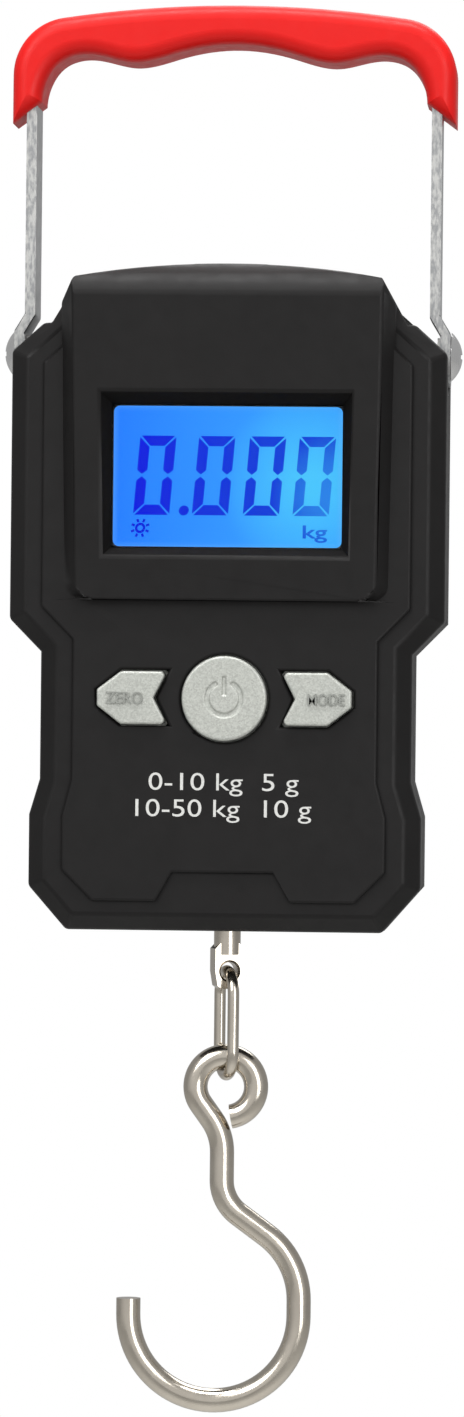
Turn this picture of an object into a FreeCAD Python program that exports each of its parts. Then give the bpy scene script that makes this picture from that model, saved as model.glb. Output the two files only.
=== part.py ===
"""Hanging scale: a red grip on a steel strap, a black case with display and keys, a link and a hook.

Millimetres, +Z up, +X to the right of somebody who reads the display, front towards -Y.
The origin is the middle of the grip, where a hand holds the scale. Every sub-part is drawn with
z measured from the bottom of the case, and its Placement lowers it into the scale's own frame.
"""
import FreeCAD, Part
import math
import os
import re

import Sketcher
from FreeCAD import Placement, Rotation, Vector

os.makedirs("parts", exist_ok=True)
doc = FreeCAD.newDocument("hanging_scale")

# ---------------------------------------------------------------- driving dimensions
DIMENSIONS = {
    # case outline, seen from the front: half widths and heights, from the bottom to the crown
    "foot_half": 25.8,
    "lower_half": 32.0,
    "lower_corner_z": 7.1,
    "lower_top_z": 18.7,
    "waist_half": 30.3,
    "waist_low_z": 24.5,
    "waist_top_z": 45.3,
    "upper_half": 35.5,
    "upper_low_z": 50.6,
    "shoulder_z": 94.3,
    "neck_half": 27.7,
    "neck_z": 101.3,
    "crown_half": 25.0,
    "crown_z": 106.2,
    "crown_rise": 2.4,
    # case depths, from the joint between its halves at y = 0
    "wall": 2.0,
    "ledge_depth": 13.4,
    "plate_step": 0.8,
    "rear_depth": 14.0,
    "edge_chamfer": 2.6,
    # face plate
    "plate_upper_half": 30.1,
    "plate_waist_half": 24.9,
    "plate_lower_half": 26.4,
    "plate_low_z": 4.8,
    "plate_top_z": 97.5,
    "notch_half": 10.9,
    "notch_top_half": 8.3,
    "notch_z": 9.5,
    # raised console round the display
    "console_low_z": 53.7,
    "console_foot_low": 26.3,
    "console_foot_high": 27.4,
    "console_face_low": 24.3,
    "console_face_high": 25.2,
    "console_proud_low": 2.0,
    "console_proud_high": 4.4,
    "console_roll_z": 101.4,
    "console_roll": 7.5,
    "console_corner": 2.6,
    # display
    "window_width": 37.5,
    "window_height": 23.2,
    "window_z": 74.0,
    "recess_width": 41.6,
    "recess_height": 28.0,
    "lens_thick": 1.2,
    "lens_front": 13.0,
    "glass_thick": 1.6,
    "lens_half": 21.2,
    "lens_rise": 13.8,
    "lcd_half": 19.6,
    "lcd_rise": 12.4,
    "light_thick": 1.4,
    "frame_deep": 3.3,
    "zebra_tall": 1.2,
    # keys
    "key_z": 37.9,
    "key_radius": 6.9,
    "arrow_x": 15.0,
    "arrow_long": 11.4,
    "arrow_tall": 8.6,
    "arrow_tip": 2.65,
    "arrow_notch": 2.2,
    "key_proud": 1.4,
    "key_gap": 0.25,
    "arrow_flange": 7.0,
    "power_flange": 7.7,
    "flange_thick": 0.8,
    "plunger_radius": 1.6,
    "switch_wide": 6.0,
    "switch_tall": 2.0,
    # circuit board
    "board_rear": 7.0,
    "board_thick": 1.2,
    "board_half": 26.0,
    "board_low_z": 28.5,
    "board_high_z": 88.8,
    "board_fix_x": 24.0,
    "board_fix_low": 31.5,
    "board_fix_high": 85.5,
    "board_screw_radius": 1.0,
    "board_head_radius": 1.8,
    "board_head_tall": 1.2,
    "board_post_radius": 2.2,
    # pivots, crossbar and load cell
    "pivot_z": 94.4,
    "pivot_radius": 2.0,
    "pivot_play": 0.05,
    "pocket_floor": 33.6,
    "pocket_half": 6.3,
    "bush_radius": 3.1,
    "bush_thick": 0.45,
    "screw_head_radius": 4.0,
    "screw_head_tall": 1.8,
    "pocket_foot": 1.5,
    "block_gap": 0.2,
    "block_drop": 8.0,
    "block_skin": 0.9,
    "slope_skin": 0.6,
    "bar_half": 27.8,
    "bar_deep": 10.0,
    "bar_tall": 7.6,
    "cell_width": 25.0,
    "cell_deep": 12.7,
    "cell_tall": 34.0,
    "cell_slot": 1.2,
    "cell_window": 10.0,
    "cell_window_half": 7.0,
    "cell_slot_rise": 8.0,
    "bolt_radius": 2.5,
    "bolt_head_tall": 4.0,
    "thread_depth": 6.5,
    "nut_radius": 4.6,
    "nut_tall": 3.2,
    "gauge_long": 6.0,
    "gauge_wide": 4.0,
    "gauge_x": 4.0,
    "gauge_thick": 0.15,
    # strap and grip
    "strap_inner": 32.4,
    "strap_thick": 1.7,
    "strap_wide": 10.0,
    "jog_low_z": 97.6,
    "jog_rise": 2.8,
    "strap_bend": 10.0,
    "grip_height": 148.3,
    "grip_half": 36.4,
    "grip_top_z": 151.5,
    "grip_deep": 14.0,
    "grip_round": 2.4,
    "grip_corner": 9.6,
    "grip_crown": 190.0,
    "grip_tip_z": 132.0,
    # rod, link and hook
    "rod_radius": 2.2,
    "rod_end_z": -9.8,
    "flat_top_z": -3.2,
    "flat_wide": 4.9,
    "flat_thick": 3.2,
    "eye_hole_z": -6.9,
    "eye_hole_radius": 1.5,
    "link_turn": 20.0,
    "link_wire": 1.9,
    "link_half": 3.9,
    "link_low_z": -24.0,
    "hook_wire": 4.0,
    "hook_eye": 5.0,
    "hook_gap": 0.1,
    "hook_bow": 14.05,
    # batteries and their door
    "battery_radius": 5.25,
    "battery_tall": 44.5,
    "battery_x": 17.1,
    "battery_y": 5.4,
    "well_low_z": 3.3,
    "well_high_z": 52.6,
    "well_front": 0.4,
    "contact_thick": 0.4,
    "door_half": 24.0,
    "door_top_z": 55.0,
    "door_thick": 1.45,
    "door_gap": 0.15,
    "door_rail": 0.9,
    "well_half": 5.7,
    "well_wall": 1.2,
    "nub_tall": 1.0,
    "nub_radius": 1.9,
    "plate_side": 9.0,
    "spring_radius": 2.6,
    "spring_wire": 0.35,
    "grip_groove_low": 9.0,
    "grip_groove_pitch": 1.8,
    "grip_groove_tall": 0.8,
    "grip_groove_half": 7.0,
    "grip_groove_deep": 0.4,
    # fasteners of the case
    "boss_radius": 3.0,
    "case_screw_radius": 1.3,
    "case_head_radius": 2.5,
    "case_head_tall": 1.5,
    "case_head_sunk": 3.5,
    "low_boss_x": 27.4,
    "low_boss_z": 12.0,
    "high_boss_x": 29.8,
    "high_boss_z": 80.0,
    # gaps that several fits share
    "slide_gap": 0.05,
    "screw_play": 0.2,
    "thread_bite": 0.02,
    "flange_gap": 0.15,
}

sheet = doc.addObject("Spreadsheet::Sheet", "sizes")
for row, (alias, dimension) in enumerate(DIMENSIONS.items(), start=1):
    sheet.set(f"A{row}", alias)
    sheet.set(f"B{row}", str(dimension))
    sheet.setAlias(f"B{row}", alias)
doc.recompute()


# ---------------------------------------------------------------- helpers
sub_parts = []


def linked(expression):
    """The expression with each dimension's name written as a reference to the sheet."""
    return re.sub(r"[a-z][a-z_]+", lambda word: "sizes." + word[0] if word[0] in DIMENSIONS else word[0],
                  str(expression))


def size(expression):
    """The number that an expression of dimensions comes to."""
    return float(sheet.evalExpression(str(expression)))


def tie(thing, field, expression):
    """Bind a property to the sheet."""
    thing.setExpression(field, linked(expression))


def lower(thing):
    """Put a sub-part, drawn from the bottom of the case, into the frame of the grip."""
    tie(thing, "Placement.Base.z", "-grip_height")
    return thing


def mirrored(corners):
    """A right-hand half outline, bottom to top, completed with its left-hand half."""
    left = [(f"-({corner[0]})",) + tuple(corner[1:2]) for corner in reversed(corners)]
    return list(corners) + left


def inset(corners, distance):
    """The outline's corners moved inwards, each along its own mitre, by a distance."""
    spots = [Vector(size(corner[0]), size(corner[1]), 0) for corner in corners]
    moved = []
    for index, corner in enumerate(corners):
        before = (spots[index] - spots[index - 1]).normalize()
        after = (spots[(index + 1) % len(spots)] - spots[index]).normalize()
        inward = Vector(-before.y - after.y, before.x + after.x, 0)
        mitre = inward / (1 + before.dot(after))
        moved.append((f"({corner[0]}) + ({distance}) * ({mitre.x:.5f})",
                      f"({corner[1]}) + ({distance}) * ({mitre.y:.5f})") + tuple(corner[2:]))
    return moved


def new_body(name):
    return doc.addObject("PartDesign::Body", name)


def new_sketch(body, name, plane, offset="0"):
    """A sketch on one of the body's own origin planes, moved along the plane's normal."""
    sketch = body.newObject("Sketcher::SketchObject", name)
    sketch.AttachmentSupport = [(next(item for item in body.Origin.OriginFeatures if item.Role == plane), "")]
    sketch.MapMode = "FlatFace"
    tie(sketch, "AttachmentOffset.Base.z", offset)
    return sketch


def pin_down(sketch, shape_index, point_index, across, up):
    """Fix a point of a sketch by its two coordinates, both bound to the sheet."""
    for kind, expression in (("DistanceX", across), ("DistanceY", up)):
        constraint = Sketcher.Constraint(kind, -1, 1, shape_index, point_index, size(expression))
        number = sketch.addConstraint(constraint)
        tie(sketch, f"Constraints[{number}]", expression)


def draw_outline(sketch, corners):
    """A closed outline. A corner's third value is the radius of an arc that starts there, and which
    bulges outwards unless a fourth value says that it is hollow."""
    spots = [Vector(size(corner[0]), size(corner[1]), 0) for corner in corners]
    ends = []
    for index, corner in enumerate(corners):
        start = spots[index]
        end = spots[(index + 1) % len(spots)]
        hollow = len(corner) == 4
        ends.append((2, 1) if hollow else (1, 2))
        if len(corner) == 2:
            sketch.addGeometry(Part.LineSegment(start, end))
            continue
        radius = size(corner[2])
        chord = end - start
        inward = Vector(-chord.y, chord.x, 0).normalize() * (-1 if hollow else 1)
        reach = math.sqrt(max(radius ** 2 - (chord.Length / 2) ** 2, 0))
        centre = (start + end) / 2 + inward * reach
        angles = [math.atan2(spot.y - centre.y, spot.x - centre.x) for spot in (start, end)]
        if hollow:
            angles.reverse()
        sketch.addGeometry(Part.ArcOfCircle(Part.Circle(centre, Vector(0, 0, 1), radius), *angles))
    for index in range(len(corners)):
        following = (index + 1) % len(corners)
        link = Sketcher.Constraint("Coincident", index, ends[index][1], following, ends[following][0])
        sketch.addConstraint(link)
    for index, corner in enumerate(corners):
        pin_down(sketch, index, ends[index][0], corner[0], corner[1])
        if len(corner) > 2:
            number = sketch.addConstraint(Sketcher.Constraint("Radius", index, size(corner[2])))
            tie(sketch, f"Constraints[{number}]", corner[2])
    return sketch


def draw_box(sketch, left, right, low, high):
    return draw_outline(sketch, [(left, low), (right, low), (right, high), (left, high)])


def draw_circle(sketch, across, up, radius):
    number = sketch.addGeometry(Part.Circle(Vector(size(across), size(up), 0), Vector(0, 0, 1), size(radius)))
    pin_down(sketch, number, 3, across, up)
    constraint = sketch.addConstraint(Sketcher.Constraint("Radius", number, size(radius)))
    tie(sketch, f"Constraints[{constraint}]", radius)
    return sketch


def pad(body, sketch, length, backwards=False, both=False):
    feature = body.newObject("PartDesign::Pad", sketch.Name + "_pad")
    feature.Profile = sketch
    feature.SideType = "Symmetric" if both else "One side"
    feature.Reversed = backwards
    tie(feature, "Length", length)
    doc.recompute()
    return feature


def pocket(body, sketch, length, backwards=False, both=False):
    """Cut a sketch into the body. The cut has to take material away."""
    before = body.Shape.Volume
    feature = body.newObject("PartDesign::Pocket", sketch.Name + "_pocket")
    feature.Profile = sketch
    feature.SideType = "Symmetric" if both else "One side"
    feature.Reversed = backwards
    tie(feature, "Length", length)
    doc.recompute()
    if not body.Shape.Volume < before:
        raise RuntimeError(f"{feature.Name} cuts nothing")
    return feature


def edges(feature, chosen):
    """The names of a feature's edges that a test on the edge picks out."""
    return [f"Edge{number}" for number, edge in enumerate(feature.Shape.Edges, start=1) if chosen(edge)]


def dress(body, kind, feature, names, amount):
    """A fillet or a chamfer on named edges."""
    finish = body.newObject("PartDesign::" + kind, f"{feature.Name}_{kind.lower()}")
    finish.Base = (feature, names)
    tie(finish, "Radius" if kind == "Fillet" else "Size", amount)
    doc.recompute()
    return finish


def at_depth(edge, depth):
    box = edge.BoundBox
    return abs(box.YMin - depth) < 1e-4 and abs(box.YMax - depth) < 1e-4


def is_console_corner(box):
    """The short edges between the console's bottom and its two sides."""
    level = abs(box.ZMin - size("console_low_z")) < 1e-3 and box.ZLength < 1e-3
    return level and box.YLength > 1 and box.XLength < 5 and abs(box.Center.x) > size("console_face_low")


def runs_along(edge, axis):
    """Whether an edge is straight and lies along an axis of the body."""
    if edge.Curve.TypeId != "Part::GeomLine":
        return False
    return abs(abs(edge.Curve.Direction.dot(axis)) - 1) < 1e-4


def simple(kind, name, **bound):
    """A Part primitive whose sizes, and place in X, Y and Z, are bound to the sheet."""
    thing = doc.addObject("Part::" + kind, name)
    for field, expression in bound.items():
        target = {"x": "Placement.Base.x", "y": "Placement.Base.y", "z": "Placement.Base.z"}.get(field, field)
        tie(thing, target, expression)
    return thing


def group(name, things):
    """Separate solids in one node, in the frame of the grip."""
    thing = doc.addObject("Part::Compound", name)
    thing.Links = things
    return finished(name, thing)


def finished(name, thing):
    """Name a sub-part, place it and keep it for the export."""
    thing.Label = name
    sub_parts.append(thing)
    return lower(thing)


def cut(name, base, tool):
    thing = doc.addObject("Part::Cut", name)
    thing.Base = base
    thing.Tool = tool
    return thing


def fuse(name, things):
    thing = doc.addObject("Part::MultiFuse", name)
    thing.Shapes = things
    return thing


def lying(thing, axis):
    """Turn a cylinder, which stands along Z, to lie along another axis."""
    thing.Placement.Rotation = Rotation(Vector(0, 0, 1), axis)
    return thing


TOWARDS_FRONT = Vector(0, -1, 0)
TOWARDS_REAR = Vector(0, 1, 0)
SIDES = (-1, 1)
SIDE_NAMES = {-1: "left", 1: "right"}
KEYS = ("left_key", "power_key", "right_key")
# longer than anything that is cut right through
THROUGH = "90"

# ---------------------------------------------------------------- outlines that several parts share
CROWN_RADIUS = "(crown_half^2 + crown_rise^2) / (2 * crown_rise)"
CASE_RIGHT = [
    ("foot_half", "0"),
    ("lower_half", "lower_corner_z"),
    ("lower_half", "lower_top_z"),
    ("waist_half", "waist_low_z"),
    ("waist_half", "waist_top_z"),
    ("upper_half", "upper_low_z"),
    ("upper_half", "shoulder_z"),
    ("neck_half", "neck_z"),
    ("crown_half", "crown_z", CROWN_RADIUS),
]
CASE = mirrored(CASE_RIGHT)
SHOULDER_SLOPE = "(neck_z - shoulder_z) / (upper_half - neck_half)"
BOSSES = [(f"{side} * {prefix}_boss_x", f"{prefix}_boss_z") for prefix in ("low", "high") for side in SIDES]
BOARD_FIXINGS = [(f"{side} * board_fix_x", height) for height in ("board_fix_low", "board_fix_high")
                 for side in SIDES]


def cavity_outline(sketch):
    """The case outline moved in by the wall, with a flat top under the crown."""
    straight = mirrored([corner[:2] for corner in CASE_RIGHT])
    return draw_outline(sketch, inset(straight, "wall"))


def pivot_walls(body, backwards):
    """Thicker walls round the pivots, the pockets in which the strap's tabs turn, and the screw holes."""
    for side in SIDES:
        block = new_sketch(body, f"{SIDE_NAMES[side]}_pivot_block", "XZ_Plane")
        inner = f"{side} * (bar_half + block_gap)"
        outer = f"{side} * (upper_half - block_skin)"
        corners = [
            (inner, "pivot_z - block_drop"),
            (outer, "pivot_z - block_drop"),
            (outer, f"shoulder_z + block_skin * {SHOULDER_SLOPE} - slope_skin"),
            (inner, f"shoulder_z + (upper_half - bar_half - block_gap) * {SHOULDER_SLOPE} - slope_skin"),
        ]
        draw_outline(block, corners if side > 0 else corners[::-1])
        pad(body, block, "pocket_half + 2", backwards)
    for side in SIDES:
        slot = new_sketch(body, f"{SIDE_NAMES[side]}_tab_pocket", "YZ_Plane", f"{side} * pocket_floor")
        draw_outline(slot, [
            ("-pocket_half", "pivot_z - pocket_foot", "pocket_half + 0.2"),
            ("pocket_half", "pivot_z - pocket_foot"),
            ("pocket_half", "crown_z"),
            ("-pocket_half", "crown_z"),
        ])
        pocket(body, slot, THROUGH, backwards=side > 0)
    hole = new_sketch(body, "pivot_holes", "YZ_Plane")
    draw_circle(hole, "0", "pivot_z", "pivot_radius + screw_play")
    pocket(body, hole, THROUGH, both=True)
    mouth = new_sketch(body, "rod_hole", "XY_Plane", "-1")
    draw_circle(mouth, "0", "0", "rod_radius + 0.5")
    pocket(body, mouth, "wall + 2", backwards=True)


# ---------------------------------------------------------------- front half of the case
def make_front_housing():
    body = new_body("front_housing")
    block = pad(body, draw_outline(new_sketch(body, "front_block", "XZ_Plane"), CASE), "ledge_depth")
    front = edges(block, lambda edge: at_depth(edge, -size("ledge_depth")))
    dress(body, "Chamfer", block, front, "edge_chamfer")

    plate = new_sketch(body, "face_plate", "XZ_Plane", "ledge_depth - 1")
    draw_outline(plate, mirrored([
        ("notch_top_half", "notch_z"),
        ("notch_half", "plate_low_z"),
        ("plate_lower_half - 5", "plate_low_z"),
        ("plate_lower_half", "plate_low_z + 5"),
        ("plate_lower_half", "lower_top_z"),
        ("plate_waist_half", "waist_low_z"),
        ("plate_waist_half", "waist_top_z + 2"),
        ("plate_upper_half", "upper_low_z + 2"),
        ("plate_upper_half", "shoulder_z - 2"),
        ("neck_half - 3", "plate_top_z"),
    ]))
    pad(body, plate, "plate_step + 1")

    console = body.newObject("PartDesign::AdditiveLoft", "console")
    sections = []
    for name, height, foot, face, proud in (
        ("console_low", "console_low_z", "console_foot_low", "console_face_low", "console_proud_low"),
        ("console_high", "crown_z + 4", "console_foot_high", "console_face_high", "console_proud_high"),
    ):
        section = new_sketch(body, name, "XY_Plane", height)
        draw_outline(section, [
            (f"-({face})", f"-(ledge_depth + plate_step + {proud})"),
            (face, f"-(ledge_depth + plate_step + {proud})"),
            (foot, "-(ledge_depth + plate_step)"),
            (foot, "-(ledge_depth - 3)"),
            (f"-({foot})", "-(ledge_depth - 3)"),
            (f"-({foot})", "-(ledge_depth + plate_step)"),
        ])
        sections.append(section)
    console.Profile = sections[0]
    console.Sections = sections[1:]
    console.Ruled = True
    doc.recompute()

    # the console's top rolls back to the crown, and the crown trims it
    face = "(ledge_depth + plate_step + console_proud_high)"
    roll = draw_outline(new_sketch(body, "console_roll", "YZ_Plane"), [
        ("-30", "console_roll_z"),
        (f"-{face}", "console_roll_z", "console_roll", "hollow"),
        (f"-{face} + console_roll", "console_roll_z + console_roll"),
        (f"-{face} + console_roll", "crown_z + 12"),
        ("-30", "crown_z + 12"),
    ])
    pocket(body, roll, THROUGH, both=True)
    slope = "(crown_z - neck_z) / (neck_half - crown_half)"
    crown = draw_outline(new_sketch(body, "crown_trim", "XZ_Plane", "-1"), [
        ("-crown_half", "crown_z", CROWN_RADIUS, "hollow"),
        ("crown_half", "crown_z"),
        ("crown_half + 4", f"crown_z - 4 * {slope}"),
        ("crown_half + 20", f"crown_z - 4 * {slope}"),
        ("crown_half + 20", "crown_z + 20"),
        ("-crown_half - 20", "crown_z + 20"),
        ("-crown_half - 20", f"crown_z - 4 * {slope}"),
        ("-crown_half - 4", f"crown_z - 4 * {slope}"),
    ])
    trimmed = pocket(body, crown, THROUGH, backwards=True)
    low_corners = edges(trimmed, lambda edge: is_console_corner(edge.BoundBox))
    dress(body, "Fillet", trimmed, low_corners, "console_corner")

    # the inside, in three steps: behind the ledge, behind the face plate, behind the window
    pocket(body, cavity_outline(new_sketch(body, "front_cavity", "XZ_Plane", "ledge_depth - wall")), THROUGH)
    behind = draw_box(new_sketch(body, "plate_cavity", "XZ_Plane", "ledge_depth + plate_step - wall"),
                      "-plate_lower_half + 3", "plate_lower_half - 3", "lower_top_z + 10", "console_low_z")
    pocket(body, behind, "10")
    lens_seat = draw_box(new_sketch(body, "lens_seat", "XZ_Plane", "lens_front"),
                         "-lens_half", "lens_half", "window_z - lens_rise", "window_z + lens_rise")
    pocket(body, lens_seat, "10")
    core = new_sketch(body, "console_core", "XZ_Plane", "ledge_depth + 1.6")
    draw_box(core, "-recess_width / 2", "recess_width / 2", "window_z + lens_rise + 2.5",
             "console_roll_z - 1")
    pocket(body, core, "10")

    # the window, with walls that slope in from the console's face
    funnel = body.newObject("PartDesign::SubtractiveLoft", "window_funnel")
    sections = []
    for name, depth, wide, tall in (
        ("window_mouth", "ledge_depth + plate_step + console_proud_high + 1", "recess_width + 1.2",
         "recess_height + 1.2"),
        ("window_throat", "lens_front + 0.4", "window_width", "window_height"),
    ):
        section = new_sketch(body, name, "XZ_Plane", depth)
        draw_box(section, f"-({wide}) / 2", f"({wide}) / 2",
                 f"window_z - ({tall}) / 2", f"window_z + ({tall}) / 2")
        sections.append(section)
    funnel.Profile = sections[0]
    funnel.Sections = sections[1:]
    funnel.Ruled = True
    doc.recompute()
    throat = draw_box(new_sketch(body, "window_opening", "XZ_Plane", "lens_front + 2"), "-window_width / 2",
                      "window_width / 2", "window_z - window_height / 2", "window_z + window_height / 2")
    pocket(body, throat, "10")

    for key in KEYS:
        opening = new_sketch(body, f"{key}_opening", "XZ_Plane", "20")
        draw_key(opening, key, "key_gap")
        pocket(body, opening, "12")

    for number, (across, up) in enumerate(BOSSES):
        post = new_sketch(body, f"front_boss_{number}", "XZ_Plane")
        draw_circle(post, across, up, "boss_radius")
        pad(body, post, "ledge_depth - wall + 0.3")
        bore = new_sketch(body, f"front_boss_bore_{number}", "XZ_Plane", "-1")
        draw_circle(bore, across, up, "case_screw_radius + thread_bite")
        pocket(body, bore, "10", backwards=True)
    for number, (across, up) in enumerate(BOARD_FIXINGS):
        post = new_sketch(body, f"board_post_{number}", "XZ_Plane", "board_rear + board_thick")
        draw_circle(post, across, up, "board_post_radius")
        pad(body, post, "ledge_depth - board_rear - board_thick - 1")
        bore = new_sketch(body, f"board_post_bore_{number}", "XZ_Plane", "board_rear")
        draw_circle(bore, across, up, "board_screw_radius + thread_bite")
        pocket(body, bore, "4.5", backwards=True)
    pivot_walls(body, backwards=False)
    return finished("front_housing", body)


# ---------------------------------------------------------------- rear half of the case
def make_rear_housing():
    body = new_body("rear_housing")
    outline = draw_outline(new_sketch(body, "rear_block", "XZ_Plane"), CASE)
    block = pad(body, outline, "rear_depth", backwards=True)
    rear = edges(block, lambda edge: at_depth(edge, size("rear_depth")))
    dress(body, "Chamfer", block, rear, "edge_chamfer")
    pocket(body, cavity_outline(new_sketch(body, "rear_cavity", "XZ_Plane", "-(rear_depth - wall)")), THROUGH,
           backwards=True)

    # a thicker wall carries the door, with a well for each battery and the track of the door's rails
    backing = new_sketch(body, "door_backing", "XZ_Plane", "-(rear_depth - wall - 1.5)")
    draw_box(backing, "-door_half - 1.4", "door_half + 1.4", "wall", "door_top_z + 3")
    pad(body, backing, "2.5", backwards=True)
    for side in SIDES:
        walls = new_sketch(body, f"{SIDE_NAMES[side]}_well_walls", "XZ_Plane", "well_front + well_wall")
        draw_box(walls, f"{side} * battery_x - well_half - well_wall",
                 f"{side} * battery_x + well_half + well_wall", "wall + 0.1", "well_high_z + well_wall")
        pad(body, walls, "rear_depth - wall + well_front + 0.7", backwards=True)
        well = new_sketch(body, f"{SIDE_NAMES[side]}_well", "XZ_Plane", "well_front")
        draw_box(well, f"{side} * battery_x - well_half", f"{side} * battery_x + well_half",
                 "well_low_z", "well_high_z")
        pocket(body, well, THROUGH)
    recess = new_sketch(body, "door_recess", "XZ_Plane", "-(rear_depth - door_thick - slide_gap)")
    draw_box(recess, "-door_half - door_gap", "door_half + door_gap", "-1", "door_top_z + door_gap")
    pocket(body, recess, "5")
    track = new_sketch(body, "door_track", "XZ_Plane", "-(rear_depth - door_thick - slide_gap)")
    draw_box(track, "-door_half - door_rail - door_gap", "door_half + door_rail + door_gap", "-1",
             "door_top_z - 4")
    pocket(body, track, "0.85")

    for number, (across, up) in enumerate(BOSSES):
        post = new_sketch(body, f"rear_boss_{number}", "XZ_Plane")
        draw_circle(post, across, up, "boss_radius + 0.4")
        pad(body, post, "rear_depth - wall + 0.3", backwards=True)
        bore = new_sketch(body, f"rear_boss_bore_{number}", "XZ_Plane", "1")
        draw_circle(bore, across, up, "case_screw_radius + screw_play")
        pocket(body, bore, "30", backwards=False)
        seat = new_sketch(body, f"rear_boss_seat_{number}", "XZ_Plane", "-(rear_depth - case_head_sunk)")
        draw_circle(seat, across, up, "case_head_radius + 0.25")
        pocket(body, seat, "10")
    pivot_walls(body, backwards=True)
    return finished("rear_housing", body)


def make_battery_door():
    body = new_body("battery_door")
    slab = draw_box(new_sketch(body, "door_slab", "XZ_Plane", "-rear_depth"),
                    "-door_half", "door_half", "edge_chamfer - door_thick + slide_gap", "door_top_z")
    plate = pad(body, slab, "door_thick")
    sill = edges(plate, lambda edge: at_depth(edge, size("rear_depth")) and edge.BoundBox.ZMax < 2)
    bevel = body.newObject("PartDesign::Chamfer", "door_sill")
    bevel.Base = (plate, sill)
    tie(bevel, "Size", "door_thick - slide_gap")
    doc.recompute()
    rails = draw_box(new_sketch(body, "door_rails", "XZ_Plane", "-(rear_depth - door_thick)"),
                     "-door_half - door_rail", "door_half + door_rail", "4", "door_top_z - 5")
    pad(body, rails, "0.7", backwards=True)
    for step in range(5):
        groove = new_sketch(body, f"door_groove_{step}", "XZ_Plane", "-rear_depth")
        foot = f"grip_groove_low + {step} * grip_groove_pitch"
        draw_box(groove, "-grip_groove_half", "grip_groove_half", foot, f"{foot} + grip_groove_tall")
        pocket(body, groove, "grip_groove_deep", backwards=True)
    return finished("battery_door", body)


# ---------------------------------------------------------------- display
def make_display():
    front = "lens_front"
    parts = (
        ("display_lens", "lens_half - 0.15", "lens_rise - 0.15", "0", "lens_thick"),
        ("lcd_panel", "lcd_half", "lcd_rise", "lens_thick + 0.1", "glass_thick"),
        ("backlight", "lcd_half", "lcd_rise", "lens_thick + 0.1 + glass_thick", "light_thick"),
    )
    for name, half, rise, behind, thick in parts:
        slab = simple("Box", name, Length=f"2 * ({half})", Height=f"2 * ({rise})", Width=thick,
                      x=f"-({half})", y=f"-{front} + {behind}")
        finished(name, slab)
        tie(slab, "Placement.Base.z", f"window_z - ({rise}) - grip_height")

    frame = new_body("lcd_frame")
    outer = draw_box(new_sketch(frame, "frame_outer", "XZ_Plane", "lens_front - lens_thick - 0.1"),
                     "-lens_half", "lens_half", "window_z - lens_rise", "window_z + lens_rise")
    pad(frame, outer, "frame_deep", backwards=True)
    inner = draw_box(new_sketch(frame, "frame_inner", "XZ_Plane", "lens_front"), "-lcd_half - 0.1",
                     "lcd_half + 0.1", "window_z - lcd_rise - zebra_tall - 0.1", "window_z + lcd_rise + 0.1")
    pocket(frame, inner, THROUGH)
    finished("lcd_frame", frame)

    strip = simple("Box", "zebra_strip", Length="2 * lcd_half - 2", Height="zebra_tall - 0.2",
                   Width="frame_deep - 0.2", x="-lcd_half + 1", y="-lens_front + lens_thick + 0.2")
    finished("zebra_strip", strip)
    tie(strip, "Placement.Base.z", "window_z - lcd_rise - zebra_tall + 0.1 - grip_height")


# ---------------------------------------------------------------- keys and their switches
def key_x(key):
    return {"left_key": "-arrow_x", "power_key": "0", "right_key": "arrow_x"}[key]


def draw_key(sketch, key, grown):
    """The front outline of a key, grown all round: round in the middle, an arrow at each side."""
    if key == "power_key":
        return draw_circle(sketch, "0", "key_z", f"key_radius + {grown}")
    way = -1 if key == "left_key" else 1
    rear = f"{way} * (arrow_x - arrow_long / 2 - {grown})"
    neck = f"{way} * (arrow_x + arrow_long / 2 - arrow_tall / 2 + 0.4)"
    tip = f"{way} * (arrow_x + arrow_long / 2 + {grown})"
    dent = f"{way} * (arrow_x - arrow_long / 2 + arrow_notch - {grown})"
    rise = f"(arrow_tall / 2 + {grown})"
    flat = "(arrow_tip / 2)"
    corners = [
        (rear, f"key_z - {rise}"),
        (neck, f"key_z - {rise}"),
        (tip, f"key_z - {flat}"),
        (tip, f"key_z + {flat}"),
        (neck, f"key_z + {rise}"),
        (rear, f"key_z + {rise}"),
        (dent, "key_z"),
    ]
    return draw_outline(sketch, corners if way > 0 else corners[::-1])


def make_key(key):
    body = new_body(key)
    top = "ledge_depth + plate_step + key_proud"
    cap = draw_key(new_sketch(body, f"{key}_cap", "XZ_Plane", top), key, "0")
    pad(body, cap, "key_proud + wall + flange_gap", backwards=True)
    flange = new_sketch(body, f"{key}_flange", "XZ_Plane", "ledge_depth + plate_step - wall - flange_gap")
    draw_circle(flange, key_x(key), "key_z", "power_flange" if key == "power_key" else "arrow_flange")
    pad(body, flange, "flange_thick", backwards=True)
    return finished(key, body)


def make_switches():
    front = "board_rear + board_thick"
    cases = []
    for key in KEYS:
        rear = "ledge_depth + plate_step - wall - flange_gap - flange_thick"
        pusher = simple("Cylinder", f"{key}_plunger", Radius="plunger_radius",
                        Height=f"{rear} - ({front}) - switch_tall + 0.9",
                        x=key_x(key), y=f"-({front} + switch_tall - 0.9)")
        lying(pusher, TOWARDS_FRONT)
        finished(f"{key}_plunger", pusher)
        tie(pusher, "Placement.Base.z", "key_z - grip_height")
        block = simple("Box", f"{key}_switch", Length="switch_wide", Height="switch_wide",
                       Width="switch_tall", x=f"{key_x(key)} - switch_wide / 2",
                       y=f"-({front} + switch_tall)", z="key_z - switch_wide / 2")
        mouth = simple("Cylinder", f"{key}_switch_bore", Radius="plunger_radius + 0.15", Height="1.6",
                       x=key_x(key), y=f"-({front} + switch_tall - 1.5)", z="key_z")
        lying(mouth, TOWARDS_FRONT)
        cases.append(cut(f"{key}_switch_case", block, mouth))
    group("tact_switches", cases)


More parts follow.
